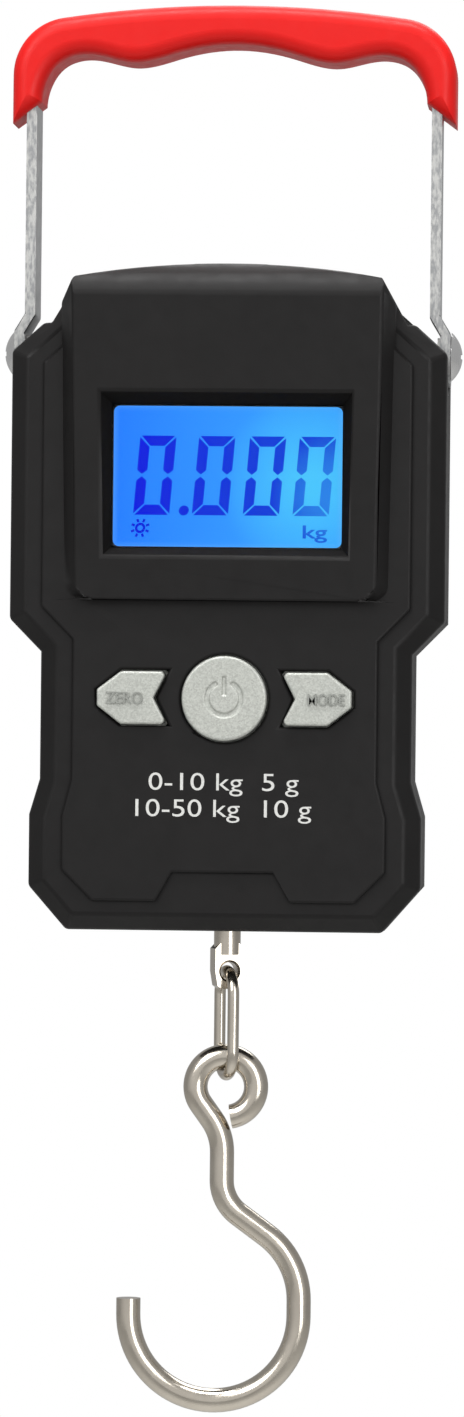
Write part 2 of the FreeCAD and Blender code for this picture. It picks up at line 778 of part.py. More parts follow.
def make_board():
    body = new_body("circuit_board")
    outline = draw_box(new_sketch(body, "board_outline", "XZ_Plane", "board_rear"),
                       "-board_half", "board_half", "board_low_z", "board_high_z")
    pad(body, outline, "board_thick")
    for number, (across, up) in enumerate(BOARD_FIXINGS):
        hole = new_sketch(body, f"board_hole_{number}", "XZ_Plane", "board_rear - 1")
        draw_circle(hole, across, up, "board_screw_radius + 0.15")
        pocket(body, hole, "4", backwards=True)
    finished("circuit_board", body)

    front = "-(board_rear + board_thick)"
    chips = [
        simple("Box", "converter_chip", Length="6", Width="1.4", Height="8", x="-22.5", y=f"{front} - 1.4",
               z="44"),
        simple("Box", "crystal", Length="3.2", Width="1.6", Height="8", x="-13", y=f"{front} - 1.6",
               z="46.5"),
        simple("Box", "regulator", Length="4.5", Width="1.6", Height="3", x="12", y=f"{front} - 1.6", z="48"),
        lying(simple("Cylinder", "controller_blob", Radius="4.2", Height="1.2", x="0", y=front, z="50"),
              TOWARDS_FRONT),
        lying(simple("Cylinder", "storage_capacitor", Radius="1.9", Height="3", x="20.5", y=front, z="49"),
              TOWARDS_FRONT),
    ]
    for step in range(6):
        chips.append(simple("Box", f"resistor_{step}", Length="1.6", Width="0.6", Height="0.8",
                            x=f"{-7.5 + 3 * step}", y=f"{front} - 0.6", z="55.4"))
    group("board_components", chips)

    screws = []
    for number, (across, up) in enumerate(BOARD_FIXINGS):
        shank = simple("Cylinder", f"board_shank_{number}", Radius="board_screw_radius", Height="4.3",
                       x=across, y="-board_rear + 0.1", z=up)
        head = simple("Cylinder", f"board_head_{number}", Radius="board_head_radius",
                      Height="board_head_tall", x=across, y="-board_rear + board_head_tall", z=up)
        ends = [lying(shank, TOWARDS_FRONT), lying(head, TOWARDS_FRONT)]
        screws.append(fuse(f"board_screw_{number}", ends))
    group("board_screws", screws)


# ---------------------------------------------------------------- what carries the load
def make_crossbar():
    body = new_body("crossbar")
    bar = draw_box(new_sketch(body, "bar_section", "YZ_Plane"), "-bar_deep / 2", "bar_deep / 2",
                   "pivot_z - bar_tall / 2", "pivot_z + bar_tall / 2")
    pad(body, bar, "2 * bar_half", both=True)
    for side in SIDES:
        thread = new_sketch(body, f"bar_thread_{SIDE_NAMES[side]}", "YZ_Plane", f"{side} * (bar_half + 1)")
        draw_circle(thread, "0", "pivot_z", "pivot_radius + thread_bite")
        pocket(body, thread, "12", backwards=side < 0)
    drop = draw_circle(new_sketch(body, "bolt_hole", "XY_Plane", "pivot_z"), "0", "0", "bolt_radius + 0.1")
    pocket(body, drop, "2 * bar_tall", both=True)
    return finished("crossbar", body)


def make_load_cell():
    body = new_body("load_cell")
    top = "(pivot_z - bar_tall / 2)"
    block = draw_box(new_sketch(body, "cell_block", "XZ_Plane"), "-cell_width / 2", "cell_width / 2",
                     f"{top} - cell_tall", top)
    pad(body, block, "cell_deep", both=True)
    middle = f"({top} - cell_tall / 2)"
    window = new_sketch(body, "cell_window", "XZ_Plane")
    draw_box(window, "-cell_window_half", "cell_window_half", f"{middle} - cell_window / 2",
             f"{middle} + cell_window / 2")
    pocket(body, window, "cell_deep + 2", both=True)
    for name, way in (("lower", -1), ("upper", 1)):
        slot = new_sketch(body, f"cell_{name}_slot", "XZ_Plane")
        height = f"({middle} + {way} * cell_slot_rise)"
        across = sorted((f"{way} * (cell_width / 2 + 1)", f"{-way} * cell_window_half"), key=size)
        draw_box(slot, across[0], across[1], f"{height} - cell_slot / 2", f"{height} + cell_slot / 2")
        pocket(body, slot, "cell_deep + 2", both=True)
    bolt_thread = new_sketch(body, "cell_bolt_thread", "XY_Plane", top)
    draw_circle(bolt_thread, "0", "0", "bolt_radius + thread_bite")
    pocket(body, bolt_thread, "thread_depth")
    rod_thread = new_sketch(body, "cell_rod_thread", "XY_Plane", f"{top} - cell_tall")
    draw_circle(rod_thread, "0", "0", "rod_radius + thread_bite")
    pocket(body, rod_thread, "thread_depth", backwards=True)
    finished("load_cell", body)

    gauges = []
    for side in SIDES:
        for level, height in (("low", f"{middle} - cell_window / 2"),
                              ("high", f"{middle} + cell_window / 2 - gauge_thick")):
            gauges.append(simple("Box", f"gauge_{level}_{SIDE_NAMES[side]}", Length="gauge_wide",
                                 Width="gauge_long", Height="gauge_thick",
                                 x=f"{side} * gauge_x - gauge_wide / 2", y="-gauge_long / 2", z=height))
    group("strain_gauges", gauges)

    head_z = "(pivot_z + bar_tall / 2)"
    shank = simple("Cylinder", "bolt_shank", Radius="bolt_radius", Height="bar_tall + thread_depth - 0.5",
                   z=f"{head_z} - bar_tall - thread_depth + 0.5")
    head = simple("Cylinder", "bolt_head", Radius="bolt_radius * 1.7", Height="bolt_head_tall", z=head_z)
    socket = simple("Prism", "bolt_socket", Circumradius="2.3", Height="bolt_head_tall",
                    z=f"{head_z} + bolt_head_tall / 2")
    finished("load_cell_bolt", cut("load_cell_bolt", fuse("bolt_blank", [shank, head]), socket))

    base = f"({top} - cell_tall)"
    nut = simple("Prism", "nut_blank", Circumradius="nut_radius", Height="nut_tall", z=f"{base} - nut_tall")
    bore = simple("Cylinder", "nut_bore", Radius="rod_radius + thread_bite", Height="nut_tall + 2",
                  z=f"{base} - nut_tall - 1")
    finished("rod_nut", cut("rod_nut", nut, bore))


def make_rod():
    """The rod's flattened end is turned about its axis, so that the link hangs at that angle."""
    body = new_body("hanger_rod")
    shaft = draw_circle(new_sketch(body, "rod_shaft", "XY_Plane", "flat_top_z - 1"), "0", "0", "rod_radius")
    pad(body, shaft, "pivot_z - bar_tall / 2 - cell_tall + 6 - flat_top_z + 1")
    end = new_sketch(body, "rod_flat", "XZ_Plane")
    draw_outline(end, [
        ("flat_wide / 2", "eye_hole_z"),
        ("flat_wide / 2", "flat_top_z"),
        ("rod_radius - 0.6", "flat_top_z + 0.9"),
        ("-rod_radius + 0.6", "flat_top_z + 0.9"),
        ("-flat_wide / 2", "flat_top_z"),
        ("-flat_wide / 2", "eye_hole_z"),
        ("-flat_wide / 2 + 0.4", "rod_end_z + 0.5"),
        ("-flat_wide / 2 + 1.1", "rod_end_z"),
        ("flat_wide / 2 - 1.1", "rod_end_z"),
        ("flat_wide / 2 - 0.4", "rod_end_z + 0.5"),
    ])
    pad(body, end, "flat_thick", both=True)
    eye = draw_circle(new_sketch(body, "rod_eye", "XZ_Plane"), "0", "eye_hole_z", "eye_hole_radius")
    bored = pocket(body, eye, "flat_thick + 2", both=True)
    rims = edges(bored, lambda edge: edge.Curve.TypeId == "Part::GeomCircle"
                 and abs(edge.Curve.Radius - size("eye_hole_radius")) < 1e-4)
    dress(body, "Chamfer", bored, rims, "0.35")
    body.Placement.Rotation = Rotation(Vector(0, 0, 1), size("link_turn"))
    return finished("hanger_rod", body)


# ---------------------------------------------------------------- wire forms
def bent_wire(start, heading, bends):
    """The centre line of a wire bent in the XZ plane: (straight,) or (radius, turn in degrees) in turn."""
    runs = []
    here = start
    for bend in bends:
        ahead = Vector(math.cos(heading), 0, math.sin(heading))
        if len(bend) == 1:
            there = here + ahead * bend[0]
            runs.append(Part.LineSegment(here, there).toShape())
        else:
            radius, turn = bend[0], math.radians(bend[1])
            left = Vector(-ahead.z, 0, ahead.x)
            side = 1 if turn > 0 else -1
            centre = here + left * radius * side

            def on_arc(angle):
                spoke = Rotation(Vector(0, -1, 0), math.degrees(angle)).multVec(here - centre)
                return centre + spoke

            there = on_arc(turn)
            runs.append(Part.Arc(here, on_arc(turn / 2), there).toShape())
            heading += turn
        here = there
    return Part.Wire(runs), here, heading


def swept(path, radius, start, along):
    """A round wire along a path, and its volume compared with section times length."""
    section = Part.Wire([Part.makeCircle(radius, start, along)])
    solid = Part.Wire(path.Edges).makePipeShell([section], True, False)
    expected = math.pi * radius ** 2 * path.Length
    if abs(solid.Volume / expected - 1) > 0.02:
        raise RuntimeError("a swept wire has the wrong volume")
    return solid


def shown(name, shape):
    thing = doc.addObject("Part::Feature", name)
    thing.Shape = shape
    return finished(name, thing)


def make_link():
    wire = "link_wire / 2"
    pieces = []
    for name, height, flip in (("top", "eye_hole_z - link_half", 0), ("low", "link_low_z + link_half", 180)):
        bend = simple("Torus", f"link_{name}", Radius1="link_half", Radius2=wire, z=height)
        bend.Angle3 = 180
        bend.Placement.Rotation = Rotation(Vector(0, 0, 1), 0) * Rotation(Vector(0, 1, 0), flip) \
            * Rotation(Vector(1, 0, 0), 90)
        pieces.append(bend)
    for side in SIDES:
        pieces.append(simple("Cylinder", f"link_side_{SIDE_NAMES[side]}", Radius=wire,
                             Height="eye_hole_z - link_low_z - 2 * link_half", x=f"{side} * link_half",
                             z="link_low_z + link_half"))
    ring = fuse("link", pieces)
    ring.Refine = True
    finished("link", ring)
    ring.Placement.Rotation = Rotation(Vector(0, 0, 1), 90 + size("link_turn"))
    return ring


# the hook's wire: turns in degrees, and straights and bend radii, from the eye to the tip
HOOK_EYE_TURN = 296
HOOK_SLANT = 3.0
HOOK_SHANK_BEND = 9.3
HOOK_SHANK_TURN = 36
HOOK_SHANK = 4.6
HOOK_NECK_BEND = 6.9
HOOK_NECK_TURN = 54
HOOK_SHOULDER = 5.7
HOOK_SHOULDER_BEND = 13.2
HOOK_SHOULDER_TURN = 54
HOOK_SIDE = 2.6
HOOK_TIP = 2.6


def hook_eye_z():
    return size("link_low_z + link_wire / 2 + hook_wire / 2 + hook_gap - hook_eye")


def make_hook():
    """Bent from the cut end of the eye, over its top, down the shank and round the bow to the tip."""
    eye = size("hook_eye")
    opening = math.radians(-80)
    centre = Vector(0, 0, hook_eye_z())
    start = centre + Vector(math.cos(opening), 0, math.sin(opening)) * eye
    path, tip, heading = bent_wire(start, opening + math.pi / 2, [
        (eye, HOOK_EYE_TURN),
        (HOOK_SLANT,),
        (HOOK_SHANK_BEND, -HOOK_SHANK_TURN),
        (HOOK_SHANK,),
        (HOOK_NECK_BEND, HOOK_NECK_TURN),
        (HOOK_SHOULDER,),
        (HOOK_SHOULDER_BEND, -HOOK_SHOULDER_TURN),
        (HOOK_SIDE,),
        (size("hook_bow"), -180),
        (HOOK_TIP,),
    ])
    along = Vector(math.cos(opening + math.pi / 2), 0, math.sin(opening + math.pi / 2))
    return shown("hook", swept(path, size("hook_wire / 2"), start, along))


# ---------------------------------------------------------------- handle
def make_strap():
    body = new_body("handle_strap")
    outer = "(strap_inner + strap_thick)"
    tab = "(strap_inner + 2 * strap_thick)"
    low = "pivot_z - strap_wide / 2"
    bevel = "0.26 * strap_thick"
    outside = [
        (tab, low),
        (tab, f"jog_low_z + {bevel}"),
        (outer, f"jog_low_z + jog_rise + {bevel}"),
        (outer, "grip_height + strap_thick / 2"),
    ]
    inside = [
        ("strap_inner", "grip_height - strap_thick / 2"),
        ("strap_inner", "jog_low_z + jog_rise"),
        (outer, "jog_low_z"),
        (outer, low),
    ]
    left_outside = [(f"-({across})", up) for across, up in reversed(outside)]
    left_inside = [(f"-({across})", up) for across, up in reversed(inside)]
    profile = draw_outline(new_sketch(body, "strap_profile", "XZ_Plane"),
                           outside + left_outside + left_inside + inside)
    strip = pad(body, profile, "strap_wide", both=True)
    for top, reach, radius in (
        ("grip_height + strap_thick / 2", outer, "strap_bend"),
        ("grip_height - strap_thick / 2", "strap_inner", "strap_bend - strap_thick"),
    ):
        bends = edges(strip, lambda edge: runs_along(edge, TOWARDS_REAR)
                      and abs(edge.BoundBox.ZMax - size(top)) < 1e-3
                      and abs(abs(edge.BoundBox.XMax) - size(reach)) < 1e-3)
        strip = dress(body, "Fillet", strip, bends, radius)
    ends = edges(strip, lambda edge: runs_along(edge, Vector(1, 0, 0))
                 and edge.BoundBox.ZMax < size("pivot_z"))
    dress(body, "Fillet", strip, ends, "strap_wide / 2 - 0.1")
    hole = new_sketch(body, "strap_holes", "YZ_Plane")
    draw_circle(hole, "0", "pivot_z", "pivot_radius + pivot_play")
    pocket(body, hole, THROUGH, both=True)
    return finished("handle_strap", body)


# half of the grip's underside: distance from the middle, and depth below the top
GRIP_UNDERSIDE = [
    (0, 6.4),
    (8.9, 7.7),
    (16.8, 9.4),
    (24.0, 8.1),
    (28.6, 9.4),
    (30.9, 12.6),
]


def make_grip(strap):
    """The grip's outline, with a wavy underside, extruded, rounded and cut by the strap it is moulded on."""
    half = size("grip_half")
    top = size("grip_top_z")
    corner = size("grip_corner")
    crown = size("grip_crown")
    crown_centre = Vector(0, 0, top - crown)
    reach = math.sqrt((crown - corner) ** 2 - (half - corner) ** 2)
    corner_centre = Vector(half - corner, 0, top - crown + reach)
    spoke = (corner_centre - crown_centre).normalize()
    shoulder = corner_centre + spoke * corner
    corner_middle = corner_centre + (spoke + Vector(1, 0, 0)).normalize() * corner
    side = Vector(half, 0, corner_centre.z)
    outer_tip = Vector(half, 0, size("grip_tip_z"))
    inner_tip = Vector(size("strap_inner") - 0.8, 0, size("grip_tip_z") + 3.5)

    def flipped(spot):
        return Vector(-spot.x, spot.y, spot.z)

    edge_chain = [Part.Arc(shoulder, Vector(0, 0, top), flipped(shoulder)).toShape()]
    for keep in (lambda spot: spot, flipped):
        edge_chain.append(Part.LineSegment(keep(inner_tip), keep(outer_tip)).toShape())
        edge_chain.append(Part.LineSegment(keep(outer_tip), keep(side)).toShape())
        edge_chain.append(Part.Arc(keep(side), keep(corner_middle), keep(shoulder)).toShape())
    wave = [Vector(across, 0, top - drop) for across, drop in GRIP_UNDERSIDE]
    wave = [flipped(spot) for spot in reversed(wave)] + wave[1:]
    underside = Part.BSplineCurve()
    underside.interpolate([flipped(inner_tip)] + wave + [inner_tip])
    outline = Part.Wire(Part.__sortEdges__(edge_chain + [underside.toShape()]))
    deep = size("grip_deep")
    block = Part.Face(outline).extrude(Vector(0, deep, 0))
    block.translate(Vector(0, -deep / 2, 0))
    rims = [edge for edge in block.Edges if edge.BoundBox.YLength < 1e-3]
    rounded = block.makeFillet(size("grip_round"), rims)
    grip = rounded.cut(strap.Tip.Shape)
    return shown("handle_grip", grip.Solids[0] if len(grip.Solids) == 1 else grip)


def make_pivots():
    screws = []
    bushes = []
    for side in SIDES:
        name = SIDE_NAMES[side]
        outwards = Vector(side, 0, 0)
        tab_face = "strap_inner + 2 * strap_thick + 0.1"
        seat = f"{side} * ({tab_face})"
        head = lying(simple("Cylinder", f"{name}_pivot_head", Radius="screw_head_radius",
                            Height="screw_head_tall", x=seat, z="pivot_z"), outwards)
        dome_radius = "(screw_head_radius^2 + screw_head_tall^2) / (2 * screw_head_tall)"
        dome = simple("Sphere", f"{name}_pivot_dome", Radius=dome_radius,
                      x=f"{seat} + {side} * (screw_head_tall - {dome_radius})", z="pivot_z")
        rounded = doc.addObject("Part::Common", f"{name}_pivot_truss")
        rounded.Base = head
        rounded.Tool = dome
        shank = lying(simple("Cylinder", f"{name}_pivot_shank", Radius="pivot_radius",
                             Height=f"{tab_face} - bar_half + 9", x=seat, z="pivot_z"), -outwards)
        blank = fuse(f"{name}_pivot_blank", [rounded, shank])
        arms = []
        for arm, (deep, tall) in enumerate((("0.8", "3.6"), ("3.6", "0.8"))):
            arms.append(simple("Box", f"{name}_pivot_recess_{arm}", Length="2", Width=deep, Height=tall,
                               x=f"{seat} + {side} * (screw_head_tall + 0.1) - 1", y=f"-({deep}) / 2",
                               z=f"pivot_z - ({tall}) / 2"))
        screws.append(cut(f"{name}_pivot_screw", blank, fuse(f"{name}_pivot_cross", arms)))
        ring = lying(simple("Cylinder", f"{name}_bush_ring", Radius="bush_radius", Height="bush_thick",
                            x=f"{side} * pocket_floor", z="pivot_z"), outwards)
        bore = lying(simple("Cylinder", f"{name}_bush_bore", Radius="pivot_radius + pivot_play",
                            Height="2 * bush_thick", x=f"{side} * (pocket_floor - bush_thick / 2)",
                            z="pivot_z"), outwards)
        bushes.append(cut(f"{name}_bush", ring, bore))
    group("pivot_screws", screws)
    group("pivot_bushes", bushes)


# ---------------------------------------------------------------- power
def make_batteries():
    cells = []
    plates = []
    springs = []
    for side in SIDES:
        name = SIDE_NAMES[side]
        across = f"{side} * battery_x"
        if side < 0:
            base = "well_high_z - contact_thick - battery_tall"
            nub_base = "well_high_z - contact_thick - nub_tall"
            spring_base = "well_low_z + contact_thick"
        else:
            base = "well_low_z + contact_thick + nub_tall"
            nub_base = "well_low_z + contact_thick"
            spring_base = "well_low_z + contact_thick + battery_tall"
        can = simple("Cylinder", f"{name}_can", Radius="battery_radius", Height="battery_tall - nub_tall",
                     x=across, y="battery_y", z=base)
        tip = simple("Cylinder", f"{name}_nub", Radius="nub_radius", Height="nub_tall",
                     x=across, y="battery_y", z=nub_base)
        cells.append(fuse(f"{name}_battery", [can, tip]))
        for end, height in (("low", "well_low_z"), ("high", "well_high_z - contact_thick")):
            plates.append(simple("Box", f"{name}_{end}_plate", Length="plate_side", Width="plate_side",
                                 Height="contact_thick", x=f"{across} - plate_side / 2",
                                 y="battery_y - plate_side / 2", z=height))
        wire = size("spring_wire")
        coil_radius = size("spring_radius")
        room = size("well_high_z - well_low_z - 2 * contact_thick - battery_tall")
        helix = Part.makeHelix((room - 2 * wire) / 3, room - 2 * wire, coil_radius)
        ring = Part.Wire([Part.makeCircle(wire, Vector(coil_radius, 0, 0), Vector(0, 1, 0.2))])
        coil = Part.Wire(helix.Edges).makePipeShell([ring], True, True)
        coil.translate(Vector(size(across), size("battery_y"), size(spring_base) + wire))
        springs.append(coil)
    group("batteries", cells)
    group("contact_plates", plates)
    shown("contact_springs", Part.makeCompound(springs))


def lead(points, radius, bend):
    """A round lead on straight runs joined by tangent arcs."""
    runs = []
    here = points[0]
    for index in range(1, len(points) - 1):
        corner = points[index]
        back = (points[index - 1] - corner).normalize()
        ahead = (points[index + 1] - corner).normalize()
        half_turn = (math.pi - back.getAngle(ahead)) / 2
        reach = bend * math.tan(half_turn)
        start = corner + back * reach
        end = corner + ahead * reach
        middle = (back + ahead).normalize()
        centre = corner + middle * (bend / math.cos(half_turn))
        runs.append(Part.LineSegment(here, start).toShape())
        runs.append(Part.Arc(start, centre - middle * bend, end).toShape())
        here = end
    runs.append(Part.LineSegment(here, points[-1]).toShape())
    return swept(Part.Wire(runs), radius, points[0], points[1] - points[0])


def make_leads():
    board = -size("board_rear")
    middle = size("pivot_z - bar_tall / 2 - cell_tall / 2")
    gauge = []
    for side in SIDES:
        for level in SIDES:
            across = side * size("gauge_x")
            start = middle + level * (size("cell_window") / 2 - 0.6)
            end = middle + level * 1.5
            gauge.append(lead([Vector(across, -3.0, start), Vector(across, -4.6, start),
                               Vector(across, -4.6, end), Vector(across, board, end)], 0.3, 0.6))
    shown("gauge_leads", Part.makeCompound(gauge))

    wall = -size("well_front + well_wall")
    low = size("well_low_z + 1.5")
    high = size("well_high_z - 1.5")
    across = size("battery_x")
    leads = [lead([Vector(side * across, wall, high), Vector(side * across, -4.0, high),
                   Vector(side * across, -4.0, high - 6), Vector(side * across, board, high - 6)], 0.6, 1.4)
             for side in SIDES]
    leads.append(lead([Vector(-across, wall, low), Vector(-across, -4.6, low),
                       Vector(across, -4.6, low), Vector(across, wall, low)], 0.6, 1.4))
    shown("battery_leads", Part.makeCompound(leads))


def make_case_screws():
    screws = []
    for number, (across, up) in enumerate(BOSSES):
        seat = "rear_depth - case_head_sunk"
        shank = lying(simple("Cylinder", f"case_shank_{number}", Radius="case_screw_radius", Height="18",
                             x=across, y=seat, z=up), TOWARDS_FRONT)
        head = lying(simple("Cylinder", f"case_head_{number}", Radius="case_head_radius",
                            Height="case_head_tall", x=across, y=seat, z=up), TOWARDS_REAR)
        arms = [simple("Box", f"case_recess_{number}_{arm}", Length=wide, Width="2", Height=tall,
                       x=f"{across} - ({wide}) / 2", y=f"{seat} + 0.6", z=f"{up} - ({tall}) / 2")
                for arm, (wide, tall) in enumerate((("0.7", "3"), ("3", "0.7")))]
        screws.append(cut(f"case_screw_{number}", fuse(f"case_blank_{number}", [shank, head]),
                          fuse(f"case_cross_{number}", arms)))
    group("case_screws", screws)


# ---------------------------------------------------------------- the whole scale
make_front_housing()
make_rear_housing()
make_battery_door()
make_display()
for key in KEYS:
    make_key(key)
make_switches()
make_board()
make_crossbar()
make_load_cell()
make_rod()
make_link()
make_hook()
make_grip(make_strap())
make_pivots()
make_batteries()
make_leads()
make_case_screws()
doc.recompute()

for item in doc.Objects:
    if "Invalid" in item.State or "Error" in item.State:
        raise RuntimeError(f"{item.Name} is {item.State}")
for sub_part in sub_parts:
    if sub_part.Shape.isNull() or not sub_part.Shape.isValid():
        raise RuntimeError(f"{sub_part.Label} has no valid shape")
for sub_part in sub_parts:
    sub_part.Shape.exportStep(f"parts/{sub_part.Label}.step")
print(f"{len(sub_parts)} sub-parts")
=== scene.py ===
"""Looks for the hanging scale: red grip on a steel strap, black case with a blue lit display and
three silver keys, steel link and hook.

Metres, +Z up, +X to the right of somebody who reads the display, front towards -Y. The origin is the
middle of the grip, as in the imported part.
"""

import math

import bmesh
import bpy
from mathutils import Matrix, Vector
from mathutils.bvhtree import BVHTree


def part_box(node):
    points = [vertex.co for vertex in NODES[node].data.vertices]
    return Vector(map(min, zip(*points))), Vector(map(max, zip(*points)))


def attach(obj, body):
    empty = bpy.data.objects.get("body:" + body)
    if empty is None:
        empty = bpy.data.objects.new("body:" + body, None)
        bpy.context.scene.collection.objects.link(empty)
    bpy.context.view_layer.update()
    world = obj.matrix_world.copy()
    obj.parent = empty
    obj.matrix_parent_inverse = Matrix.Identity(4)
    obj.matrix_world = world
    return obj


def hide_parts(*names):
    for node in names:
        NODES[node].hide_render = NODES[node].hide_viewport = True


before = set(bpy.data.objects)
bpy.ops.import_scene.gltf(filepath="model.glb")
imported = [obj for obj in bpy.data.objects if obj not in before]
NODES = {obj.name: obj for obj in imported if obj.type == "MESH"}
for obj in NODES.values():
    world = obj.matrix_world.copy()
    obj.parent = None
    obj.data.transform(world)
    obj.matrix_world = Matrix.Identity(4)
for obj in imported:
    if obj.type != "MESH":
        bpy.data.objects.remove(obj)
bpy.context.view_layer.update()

MM = 0.001
CASE_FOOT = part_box("front_housing")[0].z


# ---------------------------------------------------------------- materials
def colour(code):
    """A hex colour as linear red, green, blue and alpha."""
    shares = [int(code[place:place + 2], 16) / 255 for place in (1, 3, 5)]
    return tuple(s / 12.92 if s <= 0.04045 else ((s + 0.055) / 1.055) ** 2.4 for s in shares) + (1.0,)


def add(tree, kind, feeds=(), **settings):
    """Add one node. Feeds give its inputs, by name or number, a value or another node's output."""
    node = tree.nodes.new(kind)
    for name, value in settings.items():
        setattr(node, name, value)
    for key, value in dict(feeds).items():
        if isinstance(value, bpy.types.NodeSocket):
            tree.links.new(value, node.inputs[key])
        else:
            node.inputs[key].default_value = value
    return node


def begin(name, code, **sockets):
    """A material with one finish, its node tree, its shader, and object coordinates in millimetres."""
    material = bpy.data.materials.new(name)
    material.use_nodes = True
    tree = material.node_tree
    shader = tree.nodes["Principled BSDF"]
    shader.inputs["Base Color"].default_value = colour(code)
    for socket, value in sockets.items():
        shader.inputs[socket.replace("_", " ")].default_value = value
    place = add(tree, "ShaderNodeTexCoord")
    spot = add(tree, "ShaderNodeMapping", {"Vector": place.outputs["Object"], "Scale": (1000, 1000, 1000)})
    return material, tree, shader, spot.outputs["Vector"]


def grain(tree, spot, size, detail=3.0):
    """Noise whose grains are about size millimetres across."""
    return add(tree, "ShaderNodeTexNoise", {"Vector": spot, "Scale": 1 / size, "Detail": detail}).outputs[0]


def mottle(tree, shader, share, codes):
    """Vary the base colour between two hex colours by a share from 0 to 1."""
    mixed = add(tree, "ShaderNodeMix", {0: share, 6: colour(codes[0]), 7: colour(codes[1])}, data_type="RGBA")
    tree.links.new(mixed.outputs[2], shader.inputs["Base Color"])


def spread(tree, share, low, high, into=None, band=(0.3, 0.7)):
    """Stretch a share to run from low to high, and feed it to a socket."""
    ranged = add(tree, "ShaderNodeMapRange", {"Value": share, "From Min": band[0], "From Max": band[1],
                                              "To Min": low, "To Max": high})
    if into is not None:
        tree.links.new(ranged.outputs[0], into)
    return ranged.outputs[0]


def relief(tree, shader, height, depth, strength=1.0, over=None):
    """Bump the shader by a height pattern whose full depth is in millimetres."""
    feeds = {"Height": height, "Distance": depth * MM, "Strength": strength}
    if over is not None:
        feeds["Normal"] = over
    bumped = add(tree, "ShaderNodeBump", feeds)
    tree.links.new(bumped.outputs["Normal"], shader.inputs["Normal"])
    return bumped.outputs["Normal"]


def abs_black_spark_textured():
    """ABS moulded in a spark-eroded tool: a fine, even grain that breaks reflections up softly."""
    material, tree, shader, spot = begin("abs_black_spark_textured", "#151414", Roughness=0.5,
                                         Specular_IOR_Level=0.18)
    mottle(tree, shader, grain(tree, spot, 7.0), ("#111010", "#171616"))
    spread(tree, grain(tree, spot, 2.2), 0.40, 0.52, shader.inputs["Roughness"])
    # The eroded pits are about 0.15 mm; they are drawn at 0.3 mm so that they show.
    relief(tree, shader, grain(tree, spot, 0.3, 2.0), 0.016, 0.55)
    return material


def abs_red_moulded():
    """Red ABS from a satin-polished tool: saturated, with a soft broad shine and slight flow waves."""
    material, tree, shader, spot = begin("abs_red_moulded", "#c41210", Roughness=0.4, Specular_IOR_Level=0.2)
    mottle(tree, shader, grain(tree, spot, 9.0), ("#c0110f", "#c91613"))
    spread(tree, grain(tree, spot, 1.8), 0.34, 0.48, shader.inputs["Roughness"])
    flow = relief(tree, shader, grain(tree, spot, 6.0, 1.0), 0.03, 0.5)
    relief(tree, shader, grain(tree, spot, 0.35, 2.0), 0.008, 0.4, flow)
    return material


def abs_silver_painted(name, codes):
    """ABS keys sprayed with silver lacquer: fine metal flakes in a matt coat."""
    material, tree, shader, spot = begin(name, codes[0], Roughness=0.42, Metallic=0.35)
    # Flakes are under 0.05 mm; they are drawn at 0.22 mm so that the sparkle shows.
    flakes = add(tree, "ShaderNodeTexVoronoi", {"Vector": spot, "Scale": 1 / 0.22, "Randomness": 1.0})
    share = add(tree, "ShaderNodeSeparateColor", {"Color": flakes.outputs["Color"]}).outputs[0]
    mottle(tree, shader, share, codes)
    spread(tree, grain(tree, spot, 0.6), 0.36, 0.5, shader.inputs["Roughness"])
    relief(tree, shader, share, 0.01, 0.35)
    return material


def polycarbonate_window():
    """Clear polycarbonate display window with an anti-glare hard coat: hardly any reflection."""
    material, tree, shader, spot = begin("polycarbonate_window", "#f6f9fb", Roughness=0.02, IOR=1.1,
                                         Transmission_Weight=1.0)
    spread(tree, grain(tree, spot, 5.0), 0.01, 0.04, shader.inputs["Roughness"])
    relief(tree, shader, grain(tree, spot, 12.0, 1.0), 0.01, 0.2)
    return material


def only_seen_directly(tree, shader):
    """Let a light be seen without lighting what is round it. This is a drawing choice: it keeps a blue
    cast off the walls of the display's opening."""
    path = add(tree, "ShaderNodeLightPath")
    bounces = add(tree, "ShaderNodeMath", {0: path.outputs["Diffuse Depth"], 1: path.outputs["Glossy Depth"]})
    direct = add(tree, "ShaderNodeMath", {0: bounces.outputs[0], 1: 0.5}, operation="LESS_THAN")
    tree.links.new(direct.outputs[0], shader.inputs["Emission Strength"])


